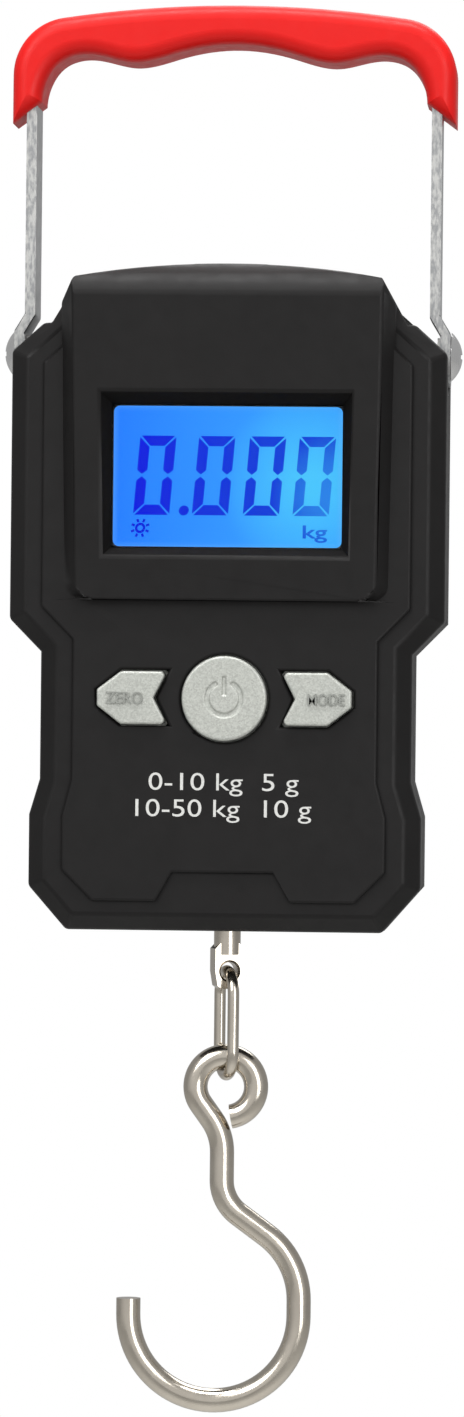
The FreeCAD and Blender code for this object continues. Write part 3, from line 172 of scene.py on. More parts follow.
def lcd_glass_backlit():
    """Twisted-nematic glass over a blue backlight: brightest towards one end, pale round the rim."""
    material, tree, shader, spot = begin("lcd_glass_backlit", "#061a3c", Roughness=0.25,
                                         Specular_IOR_Level=0.05, Emission_Strength=1.0)
    low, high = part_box("lcd_panel")
    middle = (low + high) / 2 / MM
    place = add(tree, "ShaderNodeSeparateXYZ", {"Vector": spot})
    hot = add(tree, "ShaderNodeVectorMath", {0: spot, 1: (13.5, middle.y, middle.z - 1.0)},
              operation="DISTANCE")
    pool = spread(tree, hot.outputs["Value"], 1.0, 0.0, band=(2.0, 15.0))
    across = spread(tree, place.outputs["X"], 0.0, 1.0, band=(-18.5, 8.0))
    ground = add(tree, "ShaderNodeMix", {0: across, 6: colour("#2580ff"), 7: colour("#38a0ff")},
                 data_type="RGBA")
    warm = add(tree, "ShaderNodeMix", {0: pool, 6: ground.outputs[2], 7: colour("#4cc8fb")}, data_type="RGBA")
    # The rim scatters the backlight over the last millimetre.
    out_x = add(tree, "ShaderNodeMath", {0: place.outputs["X"]}, operation="ABSOLUTE")
    up = add(tree, "ShaderNodeMath", {0: place.outputs["Z"], 1: middle.z}, operation="SUBTRACT")
    out_z = add(tree, "ShaderNodeMath", {0: up.outputs[0]}, operation="ABSOLUTE")
    rim_x = spread(tree, out_x.outputs[0], 0.0, 1.0, band=(17.7, 18.7))
    rim_z = spread(tree, out_z.outputs[0], 0.0, 1.0, band=(10.6, 11.6))
    rim = add(tree, "ShaderNodeMath", {0: rim_x, 1: rim_z}, operation="MAXIMUM")
    glow = add(tree, "ShaderNodeMath", {0: rim.outputs[0], 1: 0.35}, operation="MULTIPLY")
    lit = add(tree, "ShaderNodeMix", {0: glow.outputs[0], 6: warm.outputs[2], 7: colour("#6ab8ff")},
              data_type="RGBA")
    tree.links.new(lit.outputs[2], shader.inputs["Emission Color"])
    only_seen_directly(tree, shader)
    return material


def lcd_segment_ink():
    """A switched-on liquid-crystal segment: dark blue, washed paler where the backlight is brightest."""
    material, tree, shader, spot = begin("lcd_segment_ink", "#02041c", Roughness=0.4, Specular_IOR_Level=0.05,
                                         Emission_Strength=1.0)
    place = add(tree, "ShaderNodeSeparateXYZ", {"Vector": spot})
    low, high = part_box("lcd_panel")
    middle = (low.z + high.z) / 2 / MM
    hot = add(tree, "ShaderNodeVectorMath", {0: spot, 1: (17.5, 0.0, middle - 3.0)}, operation="DISTANCE")
    across = spread(tree, place.outputs["X"], 0.0, 1.0, band=(-16.0, 16.0))
    ground = add(tree, "ShaderNodeMix", {0: across, 6: colour("#0a18e2"), 7: colour("#1048d8")},
                 data_type="RGBA")
    wash = spread(tree, hot.outputs["Value"], 0.75, 0.0, band=(11.8, 15.5))
    lit = add(tree, "ShaderNodeMix", {0: wash, 6: ground.outputs[2], 7: colour("#2f92ee")}, data_type="RGBA")
    tree.links.new(lit.outputs[2], shader.inputs["Emission Color"])
    only_seen_directly(tree, shader)
    return material


def acrylic_light_guide():
    """Cast acrylic light guide with a printed dot grid that lets the light out evenly."""
    material, tree, shader, spot = begin("acrylic_light_guide", "#dcecff", Roughness=0.3, IOR=1.49,
                                         Emission_Color=colour("#3f8cff"), Emission_Strength=0.4)
    # The dots are 0.5 mm apart; they are drawn at 1 mm.
    dots = add(tree, "ShaderNodeTexVoronoi", {"Vector": spot, "Scale": 1.0, "Randomness": 0.0})
    share = spread(tree, dots.outputs["Distance"], 1.0, 0.0, band=(0.2, 0.35))
    mottle(tree, shader, share, ("#d2e4fb", "#ffffff"))
    return material


def moulded_plastic(name, codes, roughness, pit):
    """A plainly moulded plastic with a fine eroded grain."""
    material, tree, shader, spot = begin(name, codes[0], Roughness=roughness, IOR=1.5)
    mottle(tree, shader, grain(tree, spot, 4.0), codes)
    spread(tree, grain(tree, spot, 1.1), roughness - 0.06, roughness + 0.06, shader.inputs["Roughness"])
    relief(tree, shader, grain(tree, spot, pit, 2.0), 0.01, 0.5)
    return material


def silicone_zebra_strip():
    """Elastomer connector: carbon-filled and clear silicone layers, 0.1 mm apart, drawn at 0.5 mm."""
    material, tree, shader, spot = begin("silicone_zebra_strip", "#3a3a3c", Roughness=0.6)
    layers = add(tree, "ShaderNodeTexWave", {"Vector": spot, "Scale": 0.314 / 0.5, "Distortion": 0.0},
                 wave_type="BANDS", bands_direction="X")
    share = spread(tree, layers.outputs["Fac"], 0.0, 1.0, band=(0.4, 0.6))
    mottle(tree, shader, share, ("#141415", "#b9b2a4"))
    return material


def fr4_solder_mask():
    """Glass-epoxy board under green solder mask, with copper tracks standing slightly proud of it."""
    material, tree, shader, spot = begin("fr4_solder_mask", "#0f4a2c", Roughness=0.32, IOR=1.55,
                                         Coat_Weight=0.3, Coat_Roughness=0.2)
    tracks = add(tree, "ShaderNodeTexBrick", {"Vector": spot, "Scale": 0.5, "Mortar Size": 0.04,
                                              "Brick Width": 3.1, "Row Height": 0.9, "Color1": (1, 1, 1, 1),
                                              "Color2": (0.8, 0.8, 0.8, 1), "Mortar": (0, 0, 0, 1)},
                 offset=0.37)
    run = add(tree, "ShaderNodeSeparateColor", {"Color": tracks.outputs["Color"]}).outputs[0]
    mottle(tree, shader, run, ("#1d6b3d", "#0d4428"))
    weave = grain(tree, spot, 0.4, 1.0)
    lifted = relief(tree, shader, run, 0.03, 0.5)
    relief(tree, shader, weave, 0.008, 0.3, lifted)
    return material


def plated_steel(name, codes, roughness, lines):
    """Electroplated steel wire or sheet, bright, with faint draw lines and a few dulled spots."""
    material, tree, shader, spot = begin(name, codes[0], Metallic=1.0, Roughness=roughness)
    mottle(tree, shader, grain(tree, spot, 5.0), codes)
    haze = grain(tree, spot, 1.6, 4.0)
    spread(tree, haze, roughness * 0.75, roughness * 1.5, shader.inputs["Roughness"])
    drawn = add(tree, "ShaderNodeMapping", {"Vector": spot, "Scale": lines})
    relief(tree, shader, grain(tree, drawn.outputs[0], 0.5, 3.0), 0.006, 0.35)
    return material


def galvanised_strap():
    """Galvanised strip: faint frosted zinc spangle on the broad faces, a fine grey sheared edge."""
    material, tree, shader, spot = begin("galvanised_strap", "#b9bbbc", Metallic=1.0, Roughness=0.4)
    # Spangle crystals are 1 to 2 mm across.
    spangle = add(tree, "ShaderNodeTexVoronoi", {"Vector": spot, "Scale": 1 / 1.4, "Randomness": 1.0})
    share = add(tree, "ShaderNodeSeparateColor", {"Color": spangle.outputs["Color"]}).outputs[0]
    broad = add(tree, "ShaderNodeMix", {0: share, 6: colour("#abadae"), 7: colour("#c3c5c5")},
                data_type="RGBA")
    # The shear drags 0.2 mm wide streaks along the edge; they are drawn at 0.4 mm.
    dragged = add(tree, "ShaderNodeMapping", {"Vector": spot, "Scale": (1, 1, 0.35)})
    torn = grain(tree, dragged.outputs[0], 0.4, 3.0)
    edge = add(tree, "ShaderNodeMix", {0: spread(tree, torn, 0.0, 1.0, band=(0.38, 0.62)),
                                       6: colour("#8f9091"), 7: colour("#b4b4b2")}, data_type="RGBA")
    facing = add(tree, "ShaderNodeNewGeometry")
    lean = add(tree, "ShaderNodeSeparateXYZ", {"Vector": facing.outputs["Normal"]})
    side = add(tree, "ShaderNodeMath", {0: lean.outputs["Y"]}, operation="ABSOLUTE")
    cut = spread(tree, side.outputs[0], 0.0, 1.0, band=(0.55, 0.75))
    whole = add(tree, "ShaderNodeMix", {0: cut, 6: broad.outputs[2], 7: edge.outputs[2]}, data_type="RGBA")
    tree.links.new(whole.outputs[2], shader.inputs["Base Color"])
    spread(tree, cut, 0.30, 0.5, shader.inputs["Roughness"], band=(0.0, 1.0))
    relief(tree, shader, torn, 0.012, 0.3)
    return material


def aluminium_milled():
    """Milled 6061 aluminium load cell: fine parallel cutter lines."""
    material, tree, shader, spot = begin("aluminium_milled", "#b9bcbf", Metallic=1.0, Roughness=0.32)
    pass_marks = add(tree, "ShaderNodeTexWave", {"Vector": spot, "Scale": 0.314 / 0.4, "Distortion": 1.5,
                                                 "Detail": 1.0}, wave_type="BANDS", bands_direction="Z")
    mottle(tree, shader, grain(tree, spot, 3.0), ("#aeb1b4", "#c6c9cb"))
    relief(tree, shader, pass_marks.outputs["Fac"], 0.008, 0.5)
    return material


def polyimide_gauge_foil():
    """Strain gauge: amber polyimide film over a folded constantan grid."""
    material, tree, shader, spot = begin("polyimide_gauge_foil", "#b8742a", Roughness=0.25,
                                         Coat_Weight=0.5, Coat_Roughness=0.1)
    folds = add(tree, "ShaderNodeTexWave", {"Vector": spot, "Scale": 0.314 / 0.6, "Distortion": 0.0},
                wave_type="BANDS", bands_direction="X")
    share = spread(tree, folds.outputs["Fac"], 0.0, 1.0, band=(0.4, 0.6))
    mottle(tree, shader, share, ("#8a5a2a", "#c98a3c"))
    return material


def pvc_lead_sheath():
    """PVC lead insulation: red on the plus side, black on the minus side, extruded smooth."""
    material, tree, shader, spot = begin("pvc_lead_sheath", "#a01d18", Roughness=0.35)
    place = add(tree, "ShaderNodeSeparateXYZ", {"Vector": spot})
    mottle(tree, shader, spread(tree, place.outputs["X"], 0.0, 1.0, band=(-0.4, 0.4)), ("#1c1b1b", "#b3221b"))
    relief(tree, shader, grain(tree, spot, 0.5), 0.01, 0.3)
    return material


def battery_shrink_sleeve():
    """Printed shrink sleeve round a cell: black for two thirds, a copper-coloured band at the plus end."""
    material, tree, shader, spot = begin("battery_shrink_sleeve", "#202022", Roughness=0.28, Coat_Weight=0.4)
    low, high = [corner.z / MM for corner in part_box("batteries")]
    place = add(tree, "ShaderNodeSeparateXYZ", {"Vector": spot})
    split = low + (high - low) * 0.66
    band = spread(tree, place.outputs["Z"], 0.0, 1.0, band=(split - 0.1, split + 0.1))
    mottle(tree, shader, band, ("#1d1d20", "#b87333"))
    spread(tree, band, 0.0, 0.8, shader.inputs["Metallic"], band=(0.0, 1.0))
    relief(tree, shader, grain(tree, spot, 2.0), 0.02, 0.2)
    return material


def white_pad_ink():
    """White pad-printed ink: thin, matt, slightly uneven at its edges."""
    material, tree, shader, spot = begin("white_pad_ink", "#bcbcb9", Roughness=0.6)
    mottle(tree, shader, grain(tree, spot, 0.5), ("#b0b0ad", "#c6c6c3"))
    relief(tree, shader, grain(tree, spot, 0.3), 0.006, 0.4)
    return material


CASE_BLACK = abs_black_spark_textured()
GRIP_RED = abs_red_moulded()
KEY_SILVER = abs_silver_painted("abs_silver_painted", ("#9a9c96", "#b2b4ae"))
# The raised words are drawn darker than the keys so that they can be read. The darker colour is painted
# shade, standing in for the shading on their raised edges.
KEY_LETTERS = abs_silver_painted("abs_silver_painted_shaded_letters", ("#7d7f7a", "#8e908b"))
WINDOW_CLEAR = polycarbonate_window()
LCD_BLUE = lcd_glass_backlit()
SEGMENT_BLUE = lcd_segment_ink()
LIGHT_GUIDE = acrylic_light_guide()
WHITE_ABS = moulded_plastic("abs_white_moulded", ("#dcdcd8", "#e8e8e5"), 0.42, 0.35)
ZEBRA_RUBBER = silicone_zebra_strip()
BOARD_GREEN = fr4_solder_mask()
EPOXY_BLACK = moulded_plastic("epoxy_black_transfer_moulded", ("#17171a", "#242428"), 0.5, 0.25)
ZINC_STEEL = plated_steel("steel_zinc_plated", ("#b4b8ba", "#c8cbcc"), 0.3, (1, 1, 1))
NICKEL_WIRE = plated_steel("steel_wire_nickel_plated", ("#b8b0a4", "#cfc8bc"), 0.16, (1, 1, 0.25))
SCREW_CHROME = plated_steel("steel_screw_chrome_plated", ("#dcdcdc", "#ececec"), 0.16, (1, 1, 1))
STRAP_STEEL = galvanised_strap()
CELL_METAL = aluminium_milled()
GAUGE_FOIL = polyimide_gauge_foil()
LEAD_PVC = pvc_lead_sheath()
BATTERY_SLEEVE = battery_shrink_sleeve()
PRINT_WHITE = white_pad_ink()

FINISHES = {
    "case_plastic": CASE_BLACK,
    "grip_plastic": GRIP_RED,
    "key_plastic": KEY_SILVER,
    "clear_window": WINDOW_CLEAR,
    "lcd_glass": LCD_BLUE,
    "light_guide": LIGHT_GUIDE,
    "white_plastic": WHITE_ABS,
    "connector_rubber": ZEBRA_RUBBER,
    "board_laminate": BOARD_GREEN,
    "component_black": EPOXY_BLACK,
    "plated_steel": ZINC_STEEL,
    "nickel_steel": NICKEL_WIRE,
    "strap_steel": STRAP_STEEL,
    "cell_aluminium": CELL_METAL,
    "gauge_foil": GAUGE_FOIL,
    "lead_sheath": LEAD_PVC,
    "battery_can": BATTERY_SLEEVE,
}

SLOT_OF = {name: node.data.materials[0].name for name, node in NODES.items()}
for name, node in NODES.items():
    node.material_slots[0].material = FINISHES[SLOT_OF[name]]
NODES["pivot_screws"].material_slots[0].material = SCREW_CHROME


# ---------------------------------------------------------------- making pieces
def settle(name, shape, materials, body, stands_for=()):
    """Turn finished mesh data into a named piece that rides on a body."""
    mesh = bpy.data.meshes.new(name)
    shape.to_mesh(mesh)
    shape.free()
    return place_mesh(name, mesh, materials, body, stands_for)


def place_mesh(name, mesh, materials, body, stands_for=()):
    """Turn a mesh into a named piece that rides on a body."""
    mesh.materials.clear()
    for material in materials:
        mesh.materials.append(material)
    piece = bpy.data.objects.new(name, mesh)
    bpy.context.scene.collection.objects.link(piece)
    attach(piece, body)
    if stands_for:
        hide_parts(*stands_for)
    return piece


def merged(node):
    """A sub-part's mesh with its loose triangles joined and its flat faces made whole."""
    shape = bmesh.new()
    shape.from_mesh(NODES[node].data)
    bmesh.ops.remove_doubles(shape, verts=shape.verts, dist=0.002 * MM)
    flat = math.radians(0.1)
    bmesh.ops.dissolve_limit(shape, angle_limit=flat, verts=shape.verts, edges=shape.edges)
    bmesh.ops.dissolve_degenerate(shape, edges=shape.edges, dist=0.01 * MM)
    bmesh.ops.recalc_face_normals(shape, faces=shape.faces)
    return shape


def seen_edges(shape, side, sharpness):
    """The sharp outer edges that somebody outside can see. Side is -1 for the front, 1 for the rear."""
    tree = BVHTree.FromBMesh(shape)
    ways = [Vector(way).normalized() for way in
            ((0, side, 0), (1, 0.3 * side, 0), (-1, 0.3 * side, 0), (0, 0.3 * side, 1), (0, 0.3 * side, -1))]
    seen = []
    for edge in shape.edges:
        if len(edge.link_faces) != 2 or edge.calc_face_angle_signed(0) < math.radians(sharpness):
            continue
        out = (edge.link_faces[0].normal + edge.link_faces[1].normal).normalized()
        start = (edge.verts[0].co + edge.verts[1].co) / 2 + out * 0.05 * MM
        if any(way.dot(out) > 0 and tree.ray_cast(start, way)[0] is None for way in ways):
            seen.append(edge)
    return seen


def eased(node, name, body, side, width, material, sharpness=20.0):
    """A piece that stands for a sub-part, with the edges that show rounded over."""
    shape = merged(node)
    if side > 0:
        bmesh.ops.triangulate(shape, faces=[face for face in shape.faces if len(face.verts) > 4])
    weight = shape.edges.layers.float.new("bevel_weight_edge")
    for edge in seen_edges(shape, side, sharpness):
        room = edge.calc_length()
        if side > 0:
            # An edge that meets one shorter than a millimetre stays crisp.
            room = min(near.calc_length() for vertex in edge.verts for near in vertex.link_edges)
            if room < MM:
                continue
        edge[weight] = min(1.0, room / (2 * width * MM))
    piece = settle(name, shape, [material], body, (node,))
    for face in piece.data.polygons:
        face.use_smooth = True
    piece.data.set_sharp_from_angle(angle=math.radians(28))
    bevel = piece.modifiers.new("eased edges", "BEVEL")
    bevel.width = width * MM
    bevel.segments = 3
    bevel.limit_method = "WEIGHT"
    bevel.use_clamp_overlap = False
    level = piece.modifiers.new("flat faces kept flat", "WEIGHTED_NORMAL")
    level.keep_sharp = True


eased("front_housing", "case_front_shell", "housing", -1, 0.45, CASE_BLACK)
eased("handle_strap", "strap_pressed", "handle", 1, 0.25, STRAP_STEEL)


def join_rows(shape, rows):
    """Faces from each row of points to the next, all the way round. A row of one point is a pole."""
    faces = []
    for inner, outer in zip(rows, rows[1:]):
        count = max(len(inner), len(outer))
        for step in range(count):
            following = (step + 1) % count
            if len(inner) == 1:
                corners = (inner[0], outer[step], outer[following])
            elif len(outer) == 1:
                corners = (inner[step], outer[0], inner[following])
            else:
                corners = (inner[step], outer[step], outer[following], inner[following])
            faces.append(shape.faces.new(corners))
    return faces


def face_the_reader(shape):
    """Turn every face of a flat shape towards -Y."""
    bmesh.ops.recalc_face_normals(shape, faces=shape.faces)
    for face in shape.faces:
        if face.normal.y > 0:
            face.normal_flip()


KEY_FLANGE = 0.8 * MM


def arrow_key_cap(node, name, body):
    """An arrow-shaped key on a round flange: rounded corners, and a rim that rolls over to its face."""
    low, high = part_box(node)
    middle = (low + high) / 2
    way = 1 if middle.x > 0 else -1
    flange_front = high.y - KEY_FLANGE
    roll = 0.4 * MM
    corners = [Vector(corner) for corner in ((9.3, -4.3), (16.8, -4.3), (20.7, -1.33), (20.7, 1.33),
                                             (16.8, 4.3), (9.3, 4.3), (11.5, 0.0))]
    radii = (0.7, 1.0, 0.7, 0.7, 1.0, 0.7, 0.4)
    rim = []
    for index, (corner, radius) in enumerate(zip(corners, radii)):
        arriving = (corner - corners[index - 1]).normalized()
        leaving = (corners[(index + 1) % len(corners)] - corner).normalized()
        turn = math.atan2(arriving.x * leaving.y - arriving.y * leaving.x, arriving.dot(leaving))
        hollow = -1 if turn < 0 else 1
        start = corner - arriving * radius * math.tan(abs(turn) / 2)
        outwards = Vector((arriving.y, -arriving.x))
        centre = start - outwards * radius * hollow
        for step in range(9):
            normal = Matrix.Rotation(turn * step / 8, 2) @ outwards
            rim.append((centre + normal * radius * hollow, normal))
    shape = bmesh.new()
    levels = [(roll * (1 - math.sin(a)), low.y + roll * (1 - math.cos(a)))
              for a in [math.radians(15 * step) for step in range(7)]]
    rows = []
    for shrunk, depth in levels + [(0.0, flange_front)]:
        rows.append([shape.verts.new(((spot.x * MM - normal.x * shrunk) * way, depth,
                                      middle.z + spot.y * MM - normal.y * shrunk)) for spot, normal in rim])
    for side in join_rows(shape, rows):
        side.smooth = True
    shape.faces.new(rows[0])
    shape.faces.new(rows[-1])
    flange_spot = Matrix.Translation((middle.x, (flange_front + high.y) / 2, middle.z))
    reach = (high.x - low.x) / 2
    bmesh.ops.create_cone(shape, cap_ends=True, segments=64, radius1=reach, radius2=reach, depth=KEY_FLANGE,
                          matrix=flange_spot @ Matrix.Rotation(math.pi / 2, 4, "X"))
    bmesh.ops.recalc_face_normals(shape, faces=shape.faces)
    settle(name, shape, [KEY_SILVER], body, (node,))


arrow_key_cap("left_key", "zero_key_cap", "left_button")
arrow_key_cap("right_key", "mode_key_cap", "right_button")


def repeated(name, spots, cell, material, body, stands_for):
    """Copies of one small mesh on a set of points, set out by geometry nodes and made real."""
    points = bpy.data.meshes.new(name + "_points")
    points.from_pydata([tuple(spot) for spot in spots], [], [])
    holder = bpy.data.objects.new(name + "_points", points)
    bpy.context.scene.collection.objects.link(holder)
    model = bpy.data.objects.new(name + "_cell", cell)
    bpy.context.scene.collection.objects.link(model)

    tree = bpy.data.node_groups.new(name, "GeometryNodeTree")
    tree.is_modifier = True
    tree.interface.new_socket("Geometry", in_out="INPUT", socket_type="NodeSocketGeometry")
    one = tree.interface.new_socket("One piece", in_out="INPUT", socket_type="NodeSocketObject")
    skin = tree.interface.new_socket("Material", in_out="INPUT", socket_type="NodeSocketMaterial")
    tree.interface.new_socket("Geometry", in_out="OUTPUT", socket_type="NodeSocketGeometry")
    given = add(tree, "NodeGroupInput")
    piece = add(tree, "GeometryNodeObjectInfo", {"Object": given.outputs["One piece"]})
    copies = add(tree, "GeometryNodeInstanceOnPoints", {"Points": given.outputs["Geometry"],
                                                        "Instance": piece.outputs["Geometry"]})
    real = add(tree, "GeometryNodeRealizeInstances", {"Geometry": copies.outputs["Instances"]})
    dressed = add(tree, "GeometryNodeSetMaterial", {"Geometry": real.outputs["Geometry"],
                                                    "Material": given.outputs["Material"]})
    add(tree, "NodeGroupOutput", {"Geometry": dressed.outputs["Geometry"]})

    maker = holder.modifiers.new("copies", "NODES")
    maker.node_group = tree
    maker[one.identifier] = model
    maker[skin.identifier] = material
    bpy.context.view_layer.update()
    mesh = bpy.data.meshes.new_from_object(holder.evaluated_get(bpy.context.evaluated_depsgraph_get()))
    bpy.data.objects.remove(holder)
    bpy.data.objects.remove(model)
    place_mesh(name, mesh, [material], body, stands_for)


def turned_solid(rings, turns, dent):
    """A mesh turned about the Y axis from radius and depth pairs, and dented by a function of X and Z."""
    shape = bmesh.new()
    rows = []
    for radius, depth in rings:
        row = []
        for step in range(turns):
            angle = math.tau * step / turns
            across, up = radius * math.sin(angle), radius * math.cos(angle)
            sunk = dent(across, up) if radius < rings[-2][0] else 0.0
            row.append(shape.verts.new((across * MM, (depth + sunk) * MM, up * MM)))
        rows.append(row)
    join_rows(shape, rows)
    shape.faces.new(rows[0])
    shape.faces.new(rows[-1])
    bmesh.ops.recalc_face_normals(shape, faces=shape.faces)
    for face in shape.faces:
        face.smooth = True
    mesh = bpy.data.meshes.new("turned")
    shape.to_mesh(mesh)
    shape.free()
    mesh.set_sharp_from_angle(angle=math.radians(40))
    return mesh


def cross_recess(across, up):
    """How deep a cross-point driver's recess is, in millimetres, at a place on a screw's head."""
    arm = min(abs(across), abs(up))
    along = max(abs(across), abs(up))
    share = min(1.0, max(0.0, (0.42 - arm) / 0.14)) * min(1.0, max(0.0, (1.75 - along) / 0.5))
    return -0.75 * share


def case_screw_heads():
    """The four screws of the case, each sunk in its hole at the rear, with a domed cross-recess head."""
    low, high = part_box("case_screws")
    radius, tall, shank = 2.5, 1.5, 1.3
    seat = high.y - tall * MM
    foot = (low.y - seat) / MM
    dome = [(r, tall - 0.5 * (r / radius) ** 2) for r in [0.12 * step for step in range(1, 21)]]
    rim = [(radius - 0.06, tall - 0.52), (radius, tall - 0.65), (radius, 0.0)]
    rings = dome + rim + [(shank, 0.0), (shank, foot)]
    head = turned_solid(rings, 72, cross_recess)
    spots = []
    for across, up in ((-27.4, 12.0), (27.4, 12.0), (-29.8, 80.0), (29.8, 80.0)):
        spots.append(Vector((across * MM, seat, CASE_FOOT + up * MM)))
    repeated("case_screw_heads", spots, head, ZINC_STEEL, "housing", ("case_screws",))


case_screw_heads()


def power_key_cap():
    """The round key, lathed, with a ring and a bar sunk into its face."""
    low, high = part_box("power_key")
    face, foot = low.y, high.y
    middle = (low + high) / 2
    flange_front = foot - KEY_FLANGE
    radius, flange, roll = 6.9 * MM, high.x, 0.45 * MM
    ring, ring_half, bar_half, bar_top = 2.75 * MM, 0.36 * MM, 0.3 * MM, 3.5 * MM
    sunk, soft = 0.28 * MM, 0.16 * MM
    gap = math.radians(32)
    turns = 256
    face_radii = [0.1 * MM * step for step in range(1, 65)]
    outline = [(radius - roll + roll * math.sin(a), face + roll - roll * math.cos(a))
               for a in [math.radians(15 * step) for step in range(7)]]
    outline += [(radius, flange_front), (flange, flange_front), (flange, foot)]

    def depth(across, up):
        """How far the mark is sunk at a place on the face."""
        away = math.hypot(across, up)
        lean = abs(math.atan2(across, up))
        from_ring = abs(away - ring) - ring_half
        if lean < gap:
            end = Vector((ring * math.sin(gap), ring * math.cos(gap)))
            from_ring = (Vector((abs(across), up)) - end).length - ring_half
        from_bar = max(abs(across) - bar_half, up - bar_top, 0.5 * MM - up)
        share = min(1.0, max(0.0, (soft - min(from_ring, from_bar)) / (2 * soft)))
        return sunk * share * share * (3 - 2 * share)

    shape = bmesh.new()
    rows = [[shape.verts.new((middle.x, face + depth(0, 0), middle.z))]]
    for distance, level in [(r, None) for r in face_radii] + outline:
        row = []
        for step in range(turns):
            angle = 2 * math.pi * step / turns
            across, up = distance * math.sin(angle), distance * math.cos(angle)
            y = face + depth(across, up) if level is None else level
            row.append(shape.verts.new((middle.x + across, y, middle.z + up)))
        rows.append(row)
    rows.append([shape.verts.new((middle.x, foot, middle.z))])
    join_rows(shape, rows)
    bmesh.ops.recalc_face_normals(shape, faces=shape.faces)
    for piece_face in shape.faces:
        piece_face.smooth = True
    piece = settle("power_key_lathed", shape, [KEY_SILVER], "power_button", ("power_key",))
    piece.data.set_sharp_from_angle(angle=math.radians(50))


power_key_cap()


def lettering(name, words, tall, wide, thick, bold, spot, material, body):
    """Words that stand on a surface facing -Y. Tall is the height of a capital, in millimetres, and wide
    the length of the whole line. Spot is the middle of the line, on the surface."""
    curve = bpy.data.curves.new(name, "FONT")
    curve.body = words
    curve.align_x = "CENTER"
    curve.resolution_u = 6
    curve.offset = bold
    curve.extrude = 0.5
    writer = bpy.data.objects.new(name + "_writer", curve)
    bpy.context.scene.collection.objects.link(writer)
    bpy.context.view_layer.update()
    mesh = bpy.data.meshes.new_from_object(writer.evaluated_get(bpy.context.evaluated_depsgraph_get()))
    bpy.data.objects.remove(writer)
    xs = [vertex.co.x for vertex in mesh.vertices]
    capital = 0.7
    grow_up = tall * MM / capital
    grow_across = wide * MM / (max(xs) - min(xs))
    centre = (max(xs) + min(xs)) / 2
    for vertex in mesh.vertices:
        across = (vertex.co.x - centre) * grow_across
        up = (vertex.co.y - capital / 2) * grow_up
        out = (vertex.co.z + 0.5) * thick * MM
        vertex.co = Vector(spot) + Vector((across, -out, up))
    shape = bmesh.new()
    shape.from_mesh(mesh)
    bpy.data.meshes.remove(mesh)
    bmesh.ops.remove_doubles(shape, verts=shape.verts, dist=0.001 * MM)
    bmesh.ops.recalc_face_normals(shape, faces=shape.faces)
    settle(name, shape, [material], body)


def surface(node, across, up):
    """The Y of a sub-part's front surface at a place."""
    tree = BVHTree.FromPolygons([v.co.copy() for v in NODES[node].data.vertices],
                                [tuple(p.vertices) for p in NODES[node].data.polygons])
    return tree.ray_cast(Vector((across, -1.0, up)), Vector((0, 1, 0)))[0].y


KEY_ROW = CASE_FOOT + 37.9 * MM
for name, words, across, key, body in (("zero_key_word", "ZERO", -16.2, "left_key", "left_button"),
                                       ("mode_key_word", "MODE", 16.6, "right_key", "right_button")):
    key_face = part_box(key)[0].y + 0.02 * MM
    lettering(name, words, 1.9, 6.0, 0.34, 0.008, (across * MM, key_face, KEY_ROW), KEY_LETTERS, body)

for name, words, wide, up in (("range_line_upper", "0-10 kg  5 g", 24.4, 24.4),
                              ("range_line_lower", "10-50 kg  10 g", 28.6, 20.1)):
    height = CASE_FOOT + up * MM
    lettering(name, words, 2.85, wide, 0.02, -0.002, (0, surface("front_housing", 0, height), height),
              PRINT_WHITE, "housing")


